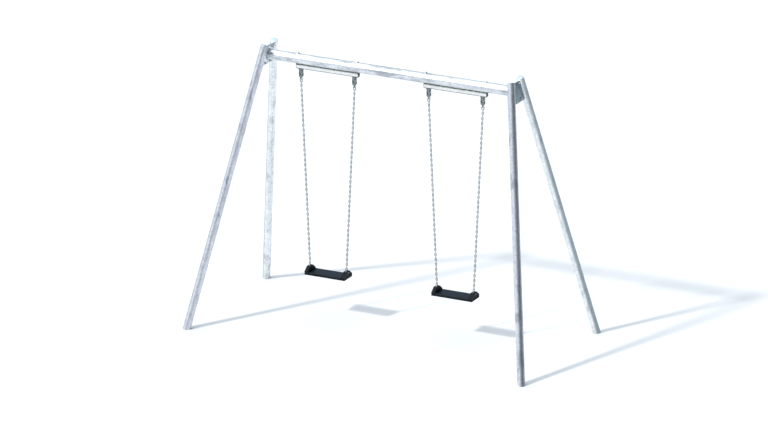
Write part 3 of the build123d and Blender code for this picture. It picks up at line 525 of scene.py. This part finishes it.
def make_legs():
    """Tubes cut level at the ground and square at the top, each closed by a turned, domed cap."""
    ground = (np.zeros(3), np.array([0, 0, 1.0]))
    for name, (foot, top, radius) in legs.items():
        leg = mesh_piece(name + "_tube", *tube(foot, top, radius, LEG_WALL, cut_start=ground,
                                                  seam_at=0 if foot[0] > 0 else math.pi), auto=40)
        dress(leg, FRONT_ZINC_SHADED if foot[1] < 0 else REAR_ZINC_LIT, "frame", "galvanised_steel", name)
        along = unit(top - foot)
        first = unit(np.cross(along, [0, 1, 0]))
        bore = radius - LEG_WALL
        profile = rounded_steps(
            [(bore - 1 * MM, -14 * MM), (bore - CAP_PLAY, -14 * MM), (bore - CAP_PLAY, 0), (radius, 0),
             (radius, 3 * MM), (radius - 5 * MM, 3.4 * MM), (radius - 7 * MM, 4.6 * MM),
             (radius * 0.35, 5.8 * MM), (0.4 * MM, 6 * MM)], 1.4 * MM, 4)
        axes = np.stack([first, np.cross(along, first), along], axis=1)
        cap = mesh_piece(name + "_end_cap", *placed(turned(profile, 72), axes, top), auto=45)
        dress(cap, CAP_METAL, "frame", "cap_metal", name + "_cap")


def make_beam():
    """The crossbeam, cut on both end flanges, with a fillet weld round each end.

    A weld is a small round section carried round the tube's slanted end. Its size swells as
    1 + 0.12 sin(80 a), one ripple each 4 mm.
    """
    half = max(abs(beam_low[0]), beam_high[0])
    planes = {}
    for _, side in SIDES:
        axes, middle = end_frame(side)
        planes[side] = (middle + axes[:, 2] * FLANGE_FACE, axes[:, 2])
    start, end = np.array([-half, 0, BEAM_HEIGHT]), np.array([half, 0, BEAM_HEIGHT])
    beam = tube(start, end, BEAM_RADIUS - SEAM_HEIGHT, BEAM_WALL, planes[-1], planes[1], rows=24)
    beam = mesh_piece("crossbeam_tube", *beam, auto=40)
    dress(beam, BEAM_ZINC, "frame", "galvanised_steel", "crossbeam")
    for side_name, side in SIDES:
        point, normal = planes[side]
        turns, section = 240, 10
        angle = np.linspace(0, 2 * math.pi, turns, endpoint=False)
        ring = np.stack([0 * angle, np.cos(angle), np.sin(angle)], axis=1)
        base = ring * BEAM_RADIUS + np.array([0, 0, BEAM_HEIGHT])
        base[:, 0] = point[0] - ((base - point)[:, 1:] @ normal[1:]) / normal[0]
        ripple = 1 + 0.12 * np.sin(angle * 80)
        tilt = np.linspace(0, 2 * math.pi, section, endpoint=False)
        size = BEAM_WELD * ripple[:, None, None]
        inward = np.array([-side, 0, 0.0])
        bead = base[:, None] + size * (
            np.cos(tilt)[None, :, None] * ring[:, None] + np.sin(tilt)[None, :, None] * inward)
        weld = mesh_piece(f"{side_name}_beam_weld", bead.reshape(-1, 3),
                          grid_faces(turns, section, True, True)[:, ::side])
        dress(weld, WELD_ZINC, "frame", "galvanised_steel")


# ---------- gusset plates and their fasteners ----------

def leg_across(height):
    """From the frame's middle line to a leg's axis, at a height up the frame above the beam."""
    foot, top, _ = legs["rear_right_leg"]
    axes, middle = end_frame(1)
    along, at_top = (top - foot) @ axes, (top - middle) @ axes
    return at_top[0] + (height - at_top[1]) * along[0] / along[1]


def prism_with_eased_edges(outline, thickness, ease):
    """A plate from its outline: each face's edge is drawn in by a quarter round."""
    centre = outline.mean(axis=0)
    spoke = outline - centre
    length = np.linalg.norm(spoke, axis=1)[:, None]
    turn = np.linspace(0, math.pi / 2, 4)
    near = [(ease * (1 - math.sin(t)), ease * (1 - math.cos(t))) for t in turn]
    steps = near + [(drawn, thickness - depth) for drawn, depth in near[::-1]]
    rings = [np.column_stack([centre + spoke * (1 - drawn / length), np.full(len(outline), depth)])
             for drawn, depth in steps]
    count = len(outline)
    faces = [list(face)[::-1] for face in grid_faces(len(rings), count, wrap_columns=True)]
    faces += [list(range(count)), [(len(rings) - 1) * count + n for n in range(count)][::-1]]
    return np.concatenate(rings), faces


def weld_bead(path, first, size, pitch=5 * MM, section=8):
    """A weld: a round bead carried along a path, swelling once each pitch, drawn out at its ends."""
    distance = np.concatenate([[0], np.cumsum(np.linalg.norm(np.diff(path, axis=0), axis=1))])
    _, side, up = frame_along(path, np.asarray(first, float))
    ends = np.minimum(distance, distance[-1] - distance)
    swell = size * (1 + 0.14 * np.sin(distance * 2 * math.pi / pitch))
    swell = swell * np.clip(ends / size, 0.1, 1) ** 0.5
    turn = np.linspace(0, 2 * math.pi, section, endpoint=False)
    ring = np.cos(turn)[None, :, None] * side[:, None] + np.sin(turn)[None, :, None] * up[:, None]
    points = path[:, None] + swell[:, None, None] * ring
    faces = [list(face)[::-1] for face in grid_faces(len(path), section, wrap_columns=True)]
    faces += [list(range(section)), [(len(path) - 1) * section + n for n in range(section)][::-1]]
    return points.reshape(-1, 3), faces


def between_legs(top, bottom, reach):
    """A trapezium's corners, its sides standing a reach inside the legs' axes at each height."""
    return np.array([(way * (leg_across(height) - reach), height)
                     for way, height in ((-1, top), (1, top), (1, bottom), (-1, bottom))])


def spun(angle):
    """A turn about Z by an angle."""
    return np.array([[math.cos(angle), -math.sin(angle), 0], [math.sin(angle), math.cos(angle), 0],
                     [0, 0, 1]])


def make_plates():
    """Each A-frame's gusset and beam flange: trapeziums in the frame's own axes, with eased edges.

    A bead is laid where each face of the gusset meets a leg, sqrt(radius^2 - (thickness / 2)^2)
    from the leg's axis. Four bolts go through both plates, each turned by its own angle.
    """
    radius = legs["front_left_leg"][2]
    half_angle = math.atan((leg_across(-1) - leg_across(0)))
    wide_radius = radius / math.cos(half_angle)
    bolt_offset = leg_across(BOLT_ROWS[0]) - wide_radius - BOLT_FROM_LEG
    places = [(way * bolt_offset, row) for row in BOLT_ROWS for way in (-1, 1)]
    heads, nuts, washers, welds = [], [], [], []
    ring = rounded_steps([(WASHER_BORE, 0), (WASHER_RADIUS, 0), (WASHER_RADIUS, WASHER),
                          (WASHER_BORE, WASHER)], 0.5 * MM)
    for side_name, side in SIDES:
        axes, middle = end_frame(side)
        outwards_unit = axes[:, 2]
        # the gusset's sides run just inside the tubes, which hide the joint as a weld would
        corners = between_legs(GUSSET_TOP, GUSSET_BOTTOM, wide_radius - 1.5 * MM)
        gusset = prism_with_eased_edges(corners, GUSSET, 0.8 * MM)
        gusset = placed(gusset, axes, middle - outwards_unit * GUSSET / 2)
        gusset = mesh_piece(f"{side_name}_gusset", *gusset, auto=35)
        dress(gusset, PLATE_ZINC, "frame", "galvanised_steel", f"{side_name}_gusset_plate")

        corners = between_legs(GUSSET_TOP - FLANGE_INSET, GUSSET_BOTTOM + FLANGE_INSET,
                               wide_radius + FLANGE_LEG_GAP)
        outline = rounded_steps(np.concatenate([corners, corners[:2]]), FLANGE_CORNER, 8)[1:-1]
        flange = prism_with_eased_edges(outline, -FLANGE_FACE - GUSSET / 2, 0.8 * MM)
        flange = placed(flange, axes, middle + outwards_unit * FLANGE_FACE)
        flange = mesh_piece(f"{side_name}_flange", *flange, auto=35)
        dress(flange, PLATE_ZINC, "frame", "galvanised_steel", f"{side_name}_beam_flange")

        height = np.linspace(GUSSET_BOTTOM + 3 * MM, GUSSET_TOP - 3 * MM, 160)
        touch = leg_across(height) - math.sqrt(radius**2 - (GUSSET / 2) ** 2) / math.cos(half_angle)
        for way in (-1, 1):
            for face in (-1, 1):
                path = np.column_stack([way * touch, height, np.full(len(height), face * GUSSET / 2)])
                welds.append(weld_bead(path @ axes.T + middle, outwards_unit, 3.2 * MM))

        for number, (across, up) in enumerate(places):
            turn = spun(0.4 + 0.7 * number)
            spot = middle + axes @ np.array([across, up, 0])
            outwards = axes @ turn
            inwards = axes @ np.diag([1, -1, -1]) @ turn
            outer, inner = spot + outwards_unit * GUSSET / 2, spot + outwards_unit * FLANGE_FACE
            on_outer, on_inner = outer + outwards_unit * WASHER, inner - outwards_unit * WASHER
            washers.append(placed(turned(ring, 40), outwards, outer))
            washers.append(placed(turned(ring, 40), inwards, inner))
            heads.append(placed(hex_head(BOLT_FLATS, BOLT_HEAD), outwards, on_outer))
            nuts.append(placed(hex_head(BOLT_FLATS, NUT_HEIGHT), inwards, on_inner))
            heads.append(placed(threaded_end(BOLT_RADIUS, BOLT_END, BOLT_PITCH), inwards, on_inner))
    dress(mesh_piece("gusset_welds", *joined(welds)), WELD_ZINC, "frame", "galvanised_steel")
    for name, parts, node in (("frame_bolt_heads_and_ends", heads, "frame_bolts"),
                              ("frame_lock_nuts", nuts, "frame_nuts"),
                              ("frame_plain_washers", washers, "frame_bolt_washers")):
        dress(mesh_piece(name, *joined(parts), auto=30), BOLT_ZINC, "frame", "zinc_fasteners", node)


# ---------- hanger bars ----------

def rounded_square(side, radius, count=6):
    """Points round a square with rounded corners, as (y, z)."""
    angle = np.linspace(0, math.pi / 2, count)
    arc = np.stack([np.cos(angle), np.sin(angle)], axis=1) * radius + side / 2 - radius
    turn = np.array([[0, 1], [-1, 0]])
    return np.concatenate([arc @ np.linalg.matrix_power(turn, n) for n in range(4)])


def square_solid(stations, middle_z, corner):
    """A bar of rounded square section whose side changes along X: stations are (x, side)."""
    rings = []
    for x, side in stations:
        section = rounded_square(side, min(corner, side * 0.45))
        heights = section[:, 1] + middle_z
        rings.append(np.column_stack([np.full(len(section), x), section[:, 0], heights]))
    count = len(rings[0])
    faces = [list(face) for face in grid_faces(len(rings), count, wrap_columns=True)]
    faces += [list(range(count))[::-1], [(len(rings) - 1) * count + n for n in range(count)]]
    if stations[-1][0] < stations[0][0]:
        faces = [face[::-1] for face in faces]
    return np.concatenate(rings), [face[::-1] for face in faces]


def make_bars():
    """Square bars whose section shrinks a little at each cut end, closed by low plastic plugs."""
    plugs = []
    for side_name, _ in SIDES:
        low, high = box(f"{side_name}_hanger_bar")
        size, middle_z = high[2] - low[2], (high[2] + low[2]) / 2
        ease = 0.5 * MM
        stations = [(low[0], size - 2 * ease), (low[0] + ease, size)]
        stations += [(x, size) for x in np.linspace(low[0], high[0], 12)[1:-1]]
        stations += [(high[0] - ease, size), (high[0], size - 2 * ease)]
        bar = mesh_piece(f"{side_name}_stainless_bar", *square_solid(stations, middle_z, BAR_CORNER),
                         auto=35)
        dress(bar, BAR_STEEL, "frame", "stainless_bar", f"{side_name}_hanger_bar")
        for end, way in ((low[0], -1), (high[0], 1)):
            steps = [(end, size - 1 * MM), (end + way * 0.6 * MM, size), (end + way * 2.6 * MM, size),
                     (end + way * 3.6 * MM, size - 1.6 * MM), (end + way * 4 * MM, size - 5 * MM)]
            plugs.append(square_solid(steps, middle_z, BAR_CORNER))
    dress(mesh_piece("bar_end_plugs", *joined(plugs), auto=35), CAP_PLASTIC, "frame", "dark_plastic",
          "bar_end_caps")


def make_bar_fasteners():
    """A hexagon head under each bar bolt. Above it a cap nut: a hexagon, and a dome turned from a
    quarter ellipse, (radius cos a, rise sin a), that starts inside the hexagon."""
    heads, nuts, places = [], [], []
    bolt_low, _ = box("bar_bolts")
    nut_low, nut_high = box("bar_cap_nuts")
    for side_name, _ in SIDES:
        low, high = box(f"{side_name}_hanger_bar")
        places += [low[0] + BAR_BOLT_INSET, high[0] - BAR_BOLT_INSET]
    down = np.diag([1, -1, -1.0])
    head = hex_head(BAR_BOLT_FLATS, BAR_BOLT_HEAD)
    shank = turned([(BAR_BOLT_RADIUS, 0), (BAR_BOLT_RADIUS, 2 * MM)], 24)
    angle = np.linspace(0.12, math.pi / 2 - 0.05, 8)
    overlap = 3 * MM
    rise = nut_high[2] - nut_low[2] - CAP_NUT_HEX + overlap
    dome = turned(np.stack([CAP_NUT_DOME_RADIUS * np.cos(angle), rise * np.sin(angle)], axis=1), 40)
    for x in places:
        heads.append(placed(head, down, (x, 0, bolt_low[2] + BAR_BOLT_HEAD)))
        heads.append(placed(shank, down, (x, 0, bolt_low[2] + BAR_BOLT_HEAD + 2 * MM)))
        nuts.append(placed(hex_head(BAR_BOLT_FLATS, CAP_NUT_HEX), np.eye(3), (x, 0, nut_low[2])))
        nuts.append(placed(dome, np.eye(3), (x, 0, nut_low[2] + CAP_NUT_HEX - overlap)))
    for name, parts, node in (("bar_bolt_heads", heads, "bar_bolts"),
                              ("bar_dome_nuts", nuts, "bar_cap_nuts")):
        dress(mesh_piece(name, *joined(parts), auto=30), BOLT_ZINC, "frame", "zinc_fasteners", node)


# ---------- chains ----------

def link_grid(inner_width, wire, inner_length, around=16, section=6):
    """One link lying along Z, wide along X: a round wire carried round a stadium loop.

    The loop is two half circles joined by straight sides; a few dozen faces keep it light.
    """
    radius = (inner_width + wire) / 2
    straight = inner_length - inner_width
    half = around // 2
    angle = np.linspace(0, math.pi, half)
    top = np.stack([radius * np.cos(angle), 0 * angle, radius * np.sin(angle) + straight / 2], axis=1)
    path = np.concatenate([top, -top])
    out = np.concatenate([np.stack([np.cos(angle), 0 * angle, np.sin(angle)], axis=1)] * 2)
    out[half:] *= -1
    turn = np.linspace(0, 2 * math.pi, section, endpoint=False) + math.pi / section
    swell = wire / 2 / math.cos(math.pi / section / 2)
    cosine, sine = np.cos(turn)[None, :, None], np.sin(turn)[None, :, None]
    points = path[:, None] + swell * (cosine * out[:, None] + sine * np.array([0, 1.0, 0]))
    return points.reshape(-1, 3), grid_faces(2 * half, section, True, True)


def make_chains():
    """Links spaced evenly on the straight line from fork to seat, every second one turned a quarter.

    The line's drop comes from the chain's box, less the round ends of its first and last links.
    Its length is a whole, odd number of pitches, and what that leaves over gives its lean.
    """
    link_points, link_faces = link_grid(LINK_WIDTH, CHAIN_WIRE, CHAIN_PITCH + 2 * LINK_PLAY)
    for side_name, _ in SIDES:
        middle = joints[f"{side_name}_swing_pivot"]["pos_m"][0]
        for place in PLACES:
            name = f"{side_name}_{place}_chain"
            low, high = box(name)
            way = np.sign((low[0] + high[0]) / 2 - middle)
            top_z, bottom_z = high[2] - CHAIN_WIRE - LINK_PLAY, low[2] + CHAIN_WIRE + LINK_PLAY
            drop = top_z - bottom_z
            count = round(math.hypot(drop, high[0] - low[0]) / CHAIN_PITCH)
            count += 1 - count % 2
            shift = math.sqrt(max((count * CHAIN_PITCH) ** 2 - drop**2, 0))
            fork_low, fork_high = box(f"{side_name}_{place}_fork")
            top = np.array([(fork_low[0] + fork_high[0]) / 2, 0, top_z])
            bottom = np.array([top[0] - way * shift, 0, bottom_z])
            down = unit(bottom - top)
            across = np.cross(down, [0, 1.0, 0])
            number = np.arange(count)
            centres = top + (bottom - top) * ((number + 0.5) / count)[:, None]
            wide = np.where((number % 2 == 0)[:, None], np.array([[0, 1.0, 0]]), across)
            thick = np.cross(down, wide)
            axes = np.stack([wide, thick, np.broadcast_to(down, wide.shape)], axis=2)
            points = np.einsum("nij,pj->npi", axes, link_points) + centres[:, None]
            starts = number[:, None, None] * len(link_points)
            faces = (starts + link_faces[None]).reshape(-1, 4)
            chain = mesh_piece(name + "_links", points.reshape(-1, 3), faces)
            # painted shade: odd links, turned a quarter, are marked for the chain's darker greys
            shaded_link = np.repeat(number % 2, len(link_points)).astype(float)
            chain.data.attributes.new("shaded_link", "FLOAT", "POINT").data.foreach_set("value", shaded_link)
            dress(chain, CHAIN_ZINC, f"{side_name}_swing", "chain_steel", name)


# ---------- seats ----------

def closed_rise(distance, radius):
    """How far a rounded edge has dropped at a distance in from the edge: a quarter circle."""
    inside = np.clip(distance, 0, radius)
    return radius - np.sqrt(np.maximum(radius**2 - (radius - inside) ** 2, 0))


def spaced(low, high, step, features, ease=0.6 * MM):
    """Grid lines from low to high about a step apart, closer near each feature's edges."""
    lines = [np.linspace(low, high, int((high - low) / step) + 1)]
    for value in features:
        lines.append(value + np.array([-4, -2, -1, -0.5, 0.5, 1, 2, 4]) * ease)
    edge = (1 - np.cos(np.linspace(0, math.pi / 2, 8))) * 7 * MM
    lines += [low + edge, high - edge]
    lines = np.unique(np.round(np.concatenate(lines), 6))
    return lines[(lines >= low) & (lines <= high)]


def seat_heights(X, Y, from_end, from_side, height, pin_z):
    """Heights of the top and the underside over (x, y), above the seat's lowest point.

    The top is the higher of a dished plate with a lip and, near each end, a house-shaped block. A
    pocket for the chain is cut where the top would stand above the pocket's floor.
    """
    half_x, half_y = X.max(), Y.max()
    # the plate: level lip, then a shallow round dish with fine ribs along the seat
    across = np.clip((half_y - LIP - np.abs(Y)) / (half_y - LIP), 0, 1)
    ribs = 0.35 * MM * np.cos(Y * 2 * math.pi / RIB_PITCH) * (across > 0.04)
    plate = PLATE_THICKNESS - DISH * (1 - (1 - across) ** 2) * (across > 0) - np.abs(ribs) * 0.6
    plate -= closed_rise(from_side, 6 * MM)
    # the blocks: flat top, slopes down to the shoulders, all edges rounded
    slope = (height - SHOULDER) / (half_y - BLOCK_FLAT_HALF)
    ramp = SHOULDER + slope * (half_y - np.abs(Y))
    softness = 0.9 * MM
    house = height - softness * np.log1p(np.exp(np.clip((height - ramp) / softness, -60, 60)))
    house -= closed_rise(from_side, 3 * MM) + closed_rise(from_end, 3 * MM)
    house -= closed_rise(BLOCK - from_end, 3 * MM) * (from_end < BLOCK)
    share = np.clip((BLOCK + 0.3 * MM - from_end) / (1.2 * MM), 0, 1)
    top = plate + (np.maximum(house, plate) - plate) * share
    # the pocket: round under the pin, then flared so that the last links can tip
    start = POCKET_ROUND * math.cos(POCKET_TILT)
    floor = pin_z - np.sqrt(np.maximum(POCKET_ROUND**2 - np.minimum(np.abs(Y), start) ** 2, 0))
    floor += np.maximum(np.abs(Y) - start, 0) / math.tan(POCKET_TILT)
    from_pin = np.abs(np.abs(X) - (half_x - BLOCK / 2))
    inside = np.clip((POCKET_HALF + 0.3 * MM - from_pin) / (0.8 * MM), 0, 1)
    top = top - np.maximum(top - floor, 0) * inside
    # the underside: rounded rim, and shallow hollows between crossed ribs
    rim = np.minimum(from_end, from_side)
    hollow = np.clip((rim - 12 * MM) / (3 * MM), 0, 1)
    grid = np.minimum(np.abs(np.sin(X * math.pi / HOLLOW_LENGTH)),
                      np.abs(np.cos(Y * math.pi / HOLLOW_WIDTH)))
    under = closed_rise(rim, 4 * MM) + HOLLOW * hollow * np.clip((grid - 0.12) / 0.15, 0, 1)
    return top, under


def seat_shell(upper, lower, shape, middle, half_x, half_y):
    """Two grids of points closed by a wall round their edge, and the number of points on that edge.

    The wall's rows are spread evenly from the upper edge to the lower one. Its lower part stands
    back a little from the lip above it, as a mould's parting line leaves it.
    """
    rows, columns = shape
    size = rows * columns
    faces = [list(face) for face in grid_faces(rows, columns)[:, ::-1]]
    faces += [list(face) for face in grid_faces(rows, columns, start=size)]
    index = np.arange(size).reshape(rows, columns)
    edge = np.concatenate([index[:, 0], index[-1, 1:], index[-2::-1, -1], index[0, -2:0:-1]])
    wall_faces = 7
    levels = np.linspace(0, 1, wall_faces + 1)[1:-1]
    wall = upper[edge][None] * (1 - levels)[:, None, None] + lower[edge][None] * levels[:, None, None]
    back = 1.0 * MM * np.clip((levels - 0.35) / 0.1, 0, 1)[:, None]
    from_middle, across = upper[edge][:, 0] - middle, upper[edge][:, 1]
    at_end, at_side = (np.abs(np.abs(v) - half) < 1e-6 for v, half in ((from_middle, half_x),
                                                                       (across, half_y)))
    wall[..., 0] -= back * np.where(at_end, np.sign(from_middle), 0)
    wall[..., 1] -= back * np.where(at_side, np.sign(across), 0)
    loops = [edge] + [2 * size + n * len(edge) + np.arange(len(edge)) for n in range(wall_faces - 1)]
    loops.append(edge + size)
    for above, below in zip(loops[:-1], loops[1:]):
        ahead, under_ahead = np.roll(above, -1), np.roll(below, -1)
        faces += np.stack([above, below, under_ahead, ahead], axis=1)[:, ::-1].tolist()
    return np.concatenate([upper, lower, wall.reshape(-1, 3)]), faces, len(edge)


def make_seats():
    """A moulded seat as two height fields closed by a wall, and a turned bolt head at each end."""
    for side_name, _ in SIDES:
        low, high = box(f"{side_name}_seat")
        middle = (low[0] + high[0]) / 2
        half_x, half_y = (high[0] - low[0]) / 2, (high[1] - low[1]) / 2
        pin_z = joints[f"{side_name}_seat_tilt"]["pos_m"][2] - low[2]
        block_x = half_x - BLOCK / 2
        x = spaced(-half_x, half_x, 5 * MM, [s * v for s in (-1, 1) for v in
                   (half_x - BLOCK, block_x - POCKET_HALF, block_x + POCKET_HALF)])
        y = spaced(-half_y, half_y, 3 * MM, [s * v for s in (-1, 1) for v in
                   (BLOCK_FLAT_HALF, half_y - LIP, POCKET_ROUND, half_y - 2.5 * MM)])
        X, Y = np.meshgrid(x, y, indexing="ij")
        from_end, from_side = half_x - np.abs(X), half_y - np.abs(Y)
        top, under = seat_heights(X, Y, from_end, from_side, high[2] - low[2], pin_z)
        upper = np.stack([X + middle, Y, top + low[2]], axis=-1).reshape(-1, 3)
        lower = np.stack([X + middle, Y, under + low[2]], axis=-1).reshape(-1, 3)
        points, faces, around = seat_shell(upper, lower, X.shape, middle, half_x, half_y)
        seat = mesh_piece(f"{side_name}_moulded_seat", points, faces, auto=50)
        fix_outside(seat)
        # painted sheen on the dished face, fading at the ends and towards the sides
        sheen_share = np.clip((from_end - BLOCK) / (6 * MM), 0, 1)
        sheen_share = sheen_share * np.clip((from_side - 3 * MM) / (4 * MM), 0.35, 1)
        painted_sheen = np.zeros(len(points))
        painted_sheen[:sheen_share.size] = sheen_share.ravel()
        # painted highlight: a light line along the top of the wall under the lip
        painted_sheen[2 * sheen_share.size:2 * sheen_share.size + 2 * around] = 0.9
        seat.data.attributes.new("painted_sheen", "FLOAT", "POINT").data.foreach_set("value", painted_sheen)
        dress(seat, SEAT_RUBBER, f"{side_name}_seat_body", "seat_rubber", f"{side_name}_seat")

        # a domed head in a shallow ring on each outer end face, over the chain's pin
        profile = rounded_steps([(0.5 * MM, 2.2 * MM), (3 * MM, 2.2 * MM), (5.5 * MM, 1.4 * MM),
                                 (6.5 * MM, 0), (6.5 * MM, -4 * MM), (0.5 * MM, -4 * MM)], 0.8 * MM, 3)
        buttons = []
        for way in (-1, 1):
            axes = np.array([[0, way, 0], [0, 0, 1.0], [way, 0, 0]]).T
            spot = (middle + way * (half_x - 1 * MM), 0, low[2] + pin_z)
            buttons.append(placed(turned(profile[::-1], 32), axes, spot))
        button = mesh_piece(f"{side_name}_seat_bolt_heads", *joined(buttons), auto=40)
        dress(button, SEAT_STEEL, f"{side_name}_seat_body", "seat_hardware")


def fix_outside(piece):
    """Turns every face outwards."""
    work = bmesh.new()
    work.from_mesh(piece.data)
    bmesh.ops.recalc_face_normals(work, faces=work.faces)
    work.to_mesh(piece.data)
    work.free()


# ---------- castings and small parts: CAD shapes with eased edges ----------

def eased_copy(node, material, body, slot, width):
    """The node's own shape with its loose triangles merged and every sharp edge rounded."""
    piece = bpy.data.objects.new(node + "_eased", nodes[node].data.copy())
    bpy.context.scene.collection.objects.link(piece)
    work = bmesh.new()
    work.from_mesh(piece.data)
    bmesh.ops.remove_doubles(work, verts=work.verts, dist=1e-6)
    bmesh.ops.dissolve_limit(work, angle_limit=math.radians(1.5), verts=work.verts, edges=work.edges)
    work.to_mesh(piece.data)
    work.free()
    piece.data.materials.clear()
    bevel = piece.modifiers.new("eased_edges", "BEVEL")
    bevel.width = width
    bevel.segments = 2
    bevel.limit_method = "ANGLE"
    bevel.angle_limit = math.radians(35)
    piece.data.polygons.foreach_set("use_smooth", np.ones(len(piece.data.polygons), bool))
    piece.data.set_sharp_from_angle(angle=math.radians(50))
    dress(piece, material, body, slot, node)


def paint(node, material):
    """Gives a CAD node that stays in view its own finish."""
    nodes[node].data.materials.clear()
    nodes[node].data.materials.append(material)


def make_small_parts():
    """Castings, shackles and pins as eased copies; the rest keep their shape and get a finish."""
    for side_name, _ in SIDES:
        swing = f"{side_name}_swing"
        for place in PLACES:
            eased_copy(f"{side_name}_{place}_bearing_block", CASTING, "frame", "bearing_casting",
                       1.2 * MM)
            eased_copy(f"{side_name}_{place}_fork", CASTING, swing, "bearing_casting", 1.0 * MM)
            eased_copy(f"{side_name}_{place}_shackle", SHACKLE_ZINC, swing, "chain_steel", 0.5 * MM)
        for part in ("pivot_pins", "shackle_pins"):
            eased_copy(f"{side_name}_{part}", BOLT_ZINC, swing, "chain_steel", 0.4 * MM)
        for part in ("seat_insert", "seat_brackets", "seat_rivets", "seat_pins"):
            paint(f"{side_name}_{part}", SEAT_STEEL)
    for node in ("bar_bolt_washers", "beam_top_washers", "bearing_screws"):
        paint(node, BOLT_ZINC)
    paint("foot_discs", FRONT_ZINC_SHADED)
    paint("bearing_bushes", BRONZE)
    paint("bar_saddles", PAD_RUBBER)


# ---------- floor, light and camera ----------

def make_stage():
    """A pale studio floor, a soft sun from the front left and a sky that is brightest high on the left.

    The sky's strength follows a smooth step of the cosine between its direction and the bright spot.
    """
    reach = 60
    floor = mesh_piece("studio_floor", [(-reach, -reach, 0), (reach, -reach, 0), (reach, reach, 0),
                                        (-reach, reach, 0)], [(0, 1, 2, 3)], smooth=False)
    pale = Finish("pale_studio_floor", Roughness=0.9, Specular_IOR_Level=0.1)
    mottle = pale.add("ShaderNodeTexNoise", [("Vector", pale.place, "Object")], Scale=0.6, Detail=2)
    tone = pale.ramp(mottle, "Fac", [(0.3, "#CFD0D1"), (0.7, "#D3D4D5")])
    pale.to_shader("Base Color", tone, "Color")
    floor.data.materials.append(pale.material)

    world = bpy.data.worlds.new("studio_sky")
    world.use_nodes = True
    tree = world.node_tree
    background = tree.nodes["Background"]
    direction = tree.nodes.new("ShaderNodeTexCoord")
    lean = tree.nodes.new("ShaderNodeVectorMath")
    lean.operation = "DOT_PRODUCT"
    lean.inputs[1].default_value = unit((-0.45, -0.2, 1.0))
    strength = tree.nodes.new("ShaderNodeMapRange")
    strength.interpolation_type = "SMOOTHSTEP"
    for socket, value in (("From Min", 0.08), ("From Max", 1.0), ("To Min", 0.18), ("To Max", 2.05)):
        strength.inputs[socket].default_value = value
    tree.links.new(direction.outputs["Generated"], lean.inputs[0])
    tree.links.new(lean.outputs["Value"], strength.inputs["Value"])
    tree.links.new(strength.outputs["Result"], background.inputs["Strength"])
    background.inputs["Color"].default_value = linear("#E6EEF6")
    bpy.context.scene.world = world

    sun = bpy.data.lights.new("soft_sun", "SUN")
    sun.energy = 2.9
    sun.angle = math.radians(4)
    sun.color = (1.0, 0.985, 0.96)
    lamp = bpy.data.objects.new("soft_sun", sun)
    lamp.rotation_mode = "QUATERNION"
    lamp.rotation_quaternion = Vector((0.54, 0.94, -1.0)).to_track_quat("-Z", "Y")
    bpy.context.scene.collection.objects.link(lamp)


def make_camera():
    """A very long lens from the front right, so that parallel lines stay nearly parallel."""
    azimuth, elevation = math.radians(26.6), math.radians(18.84)
    seen_width, lens = 7.42, 400
    aim = Vector((-0.225, 0.287, 1.048))
    back = Vector((math.sin(azimuth) * math.cos(elevation), -math.cos(azimuth) * math.cos(elevation),
                   math.sin(elevation)))
    data = bpy.data.cameras.new("camera")
    data.lens = lens
    data.sensor_width = 36
    distance = seen_width * lens / data.sensor_width
    data.clip_start, data.clip_end = 1, 400
    camera = bpy.data.objects.new("camera", data)
    camera.location = aim + back * distance
    camera.rotation_mode = "QUATERNION"
    camera.rotation_quaternion = (-back).to_track_quat("-Z", "Y")
    bpy.context.scene.collection.objects.link(camera)
    bpy.context.scene.camera = camera


make_camera()
make_stage()
make_legs()
make_beam()
make_plates()
make_bars()
make_bar_fasteners()
make_chains()
make_seats()
make_small_parts()
bpy.context.scene.view_settings.view_transform = "Standard"
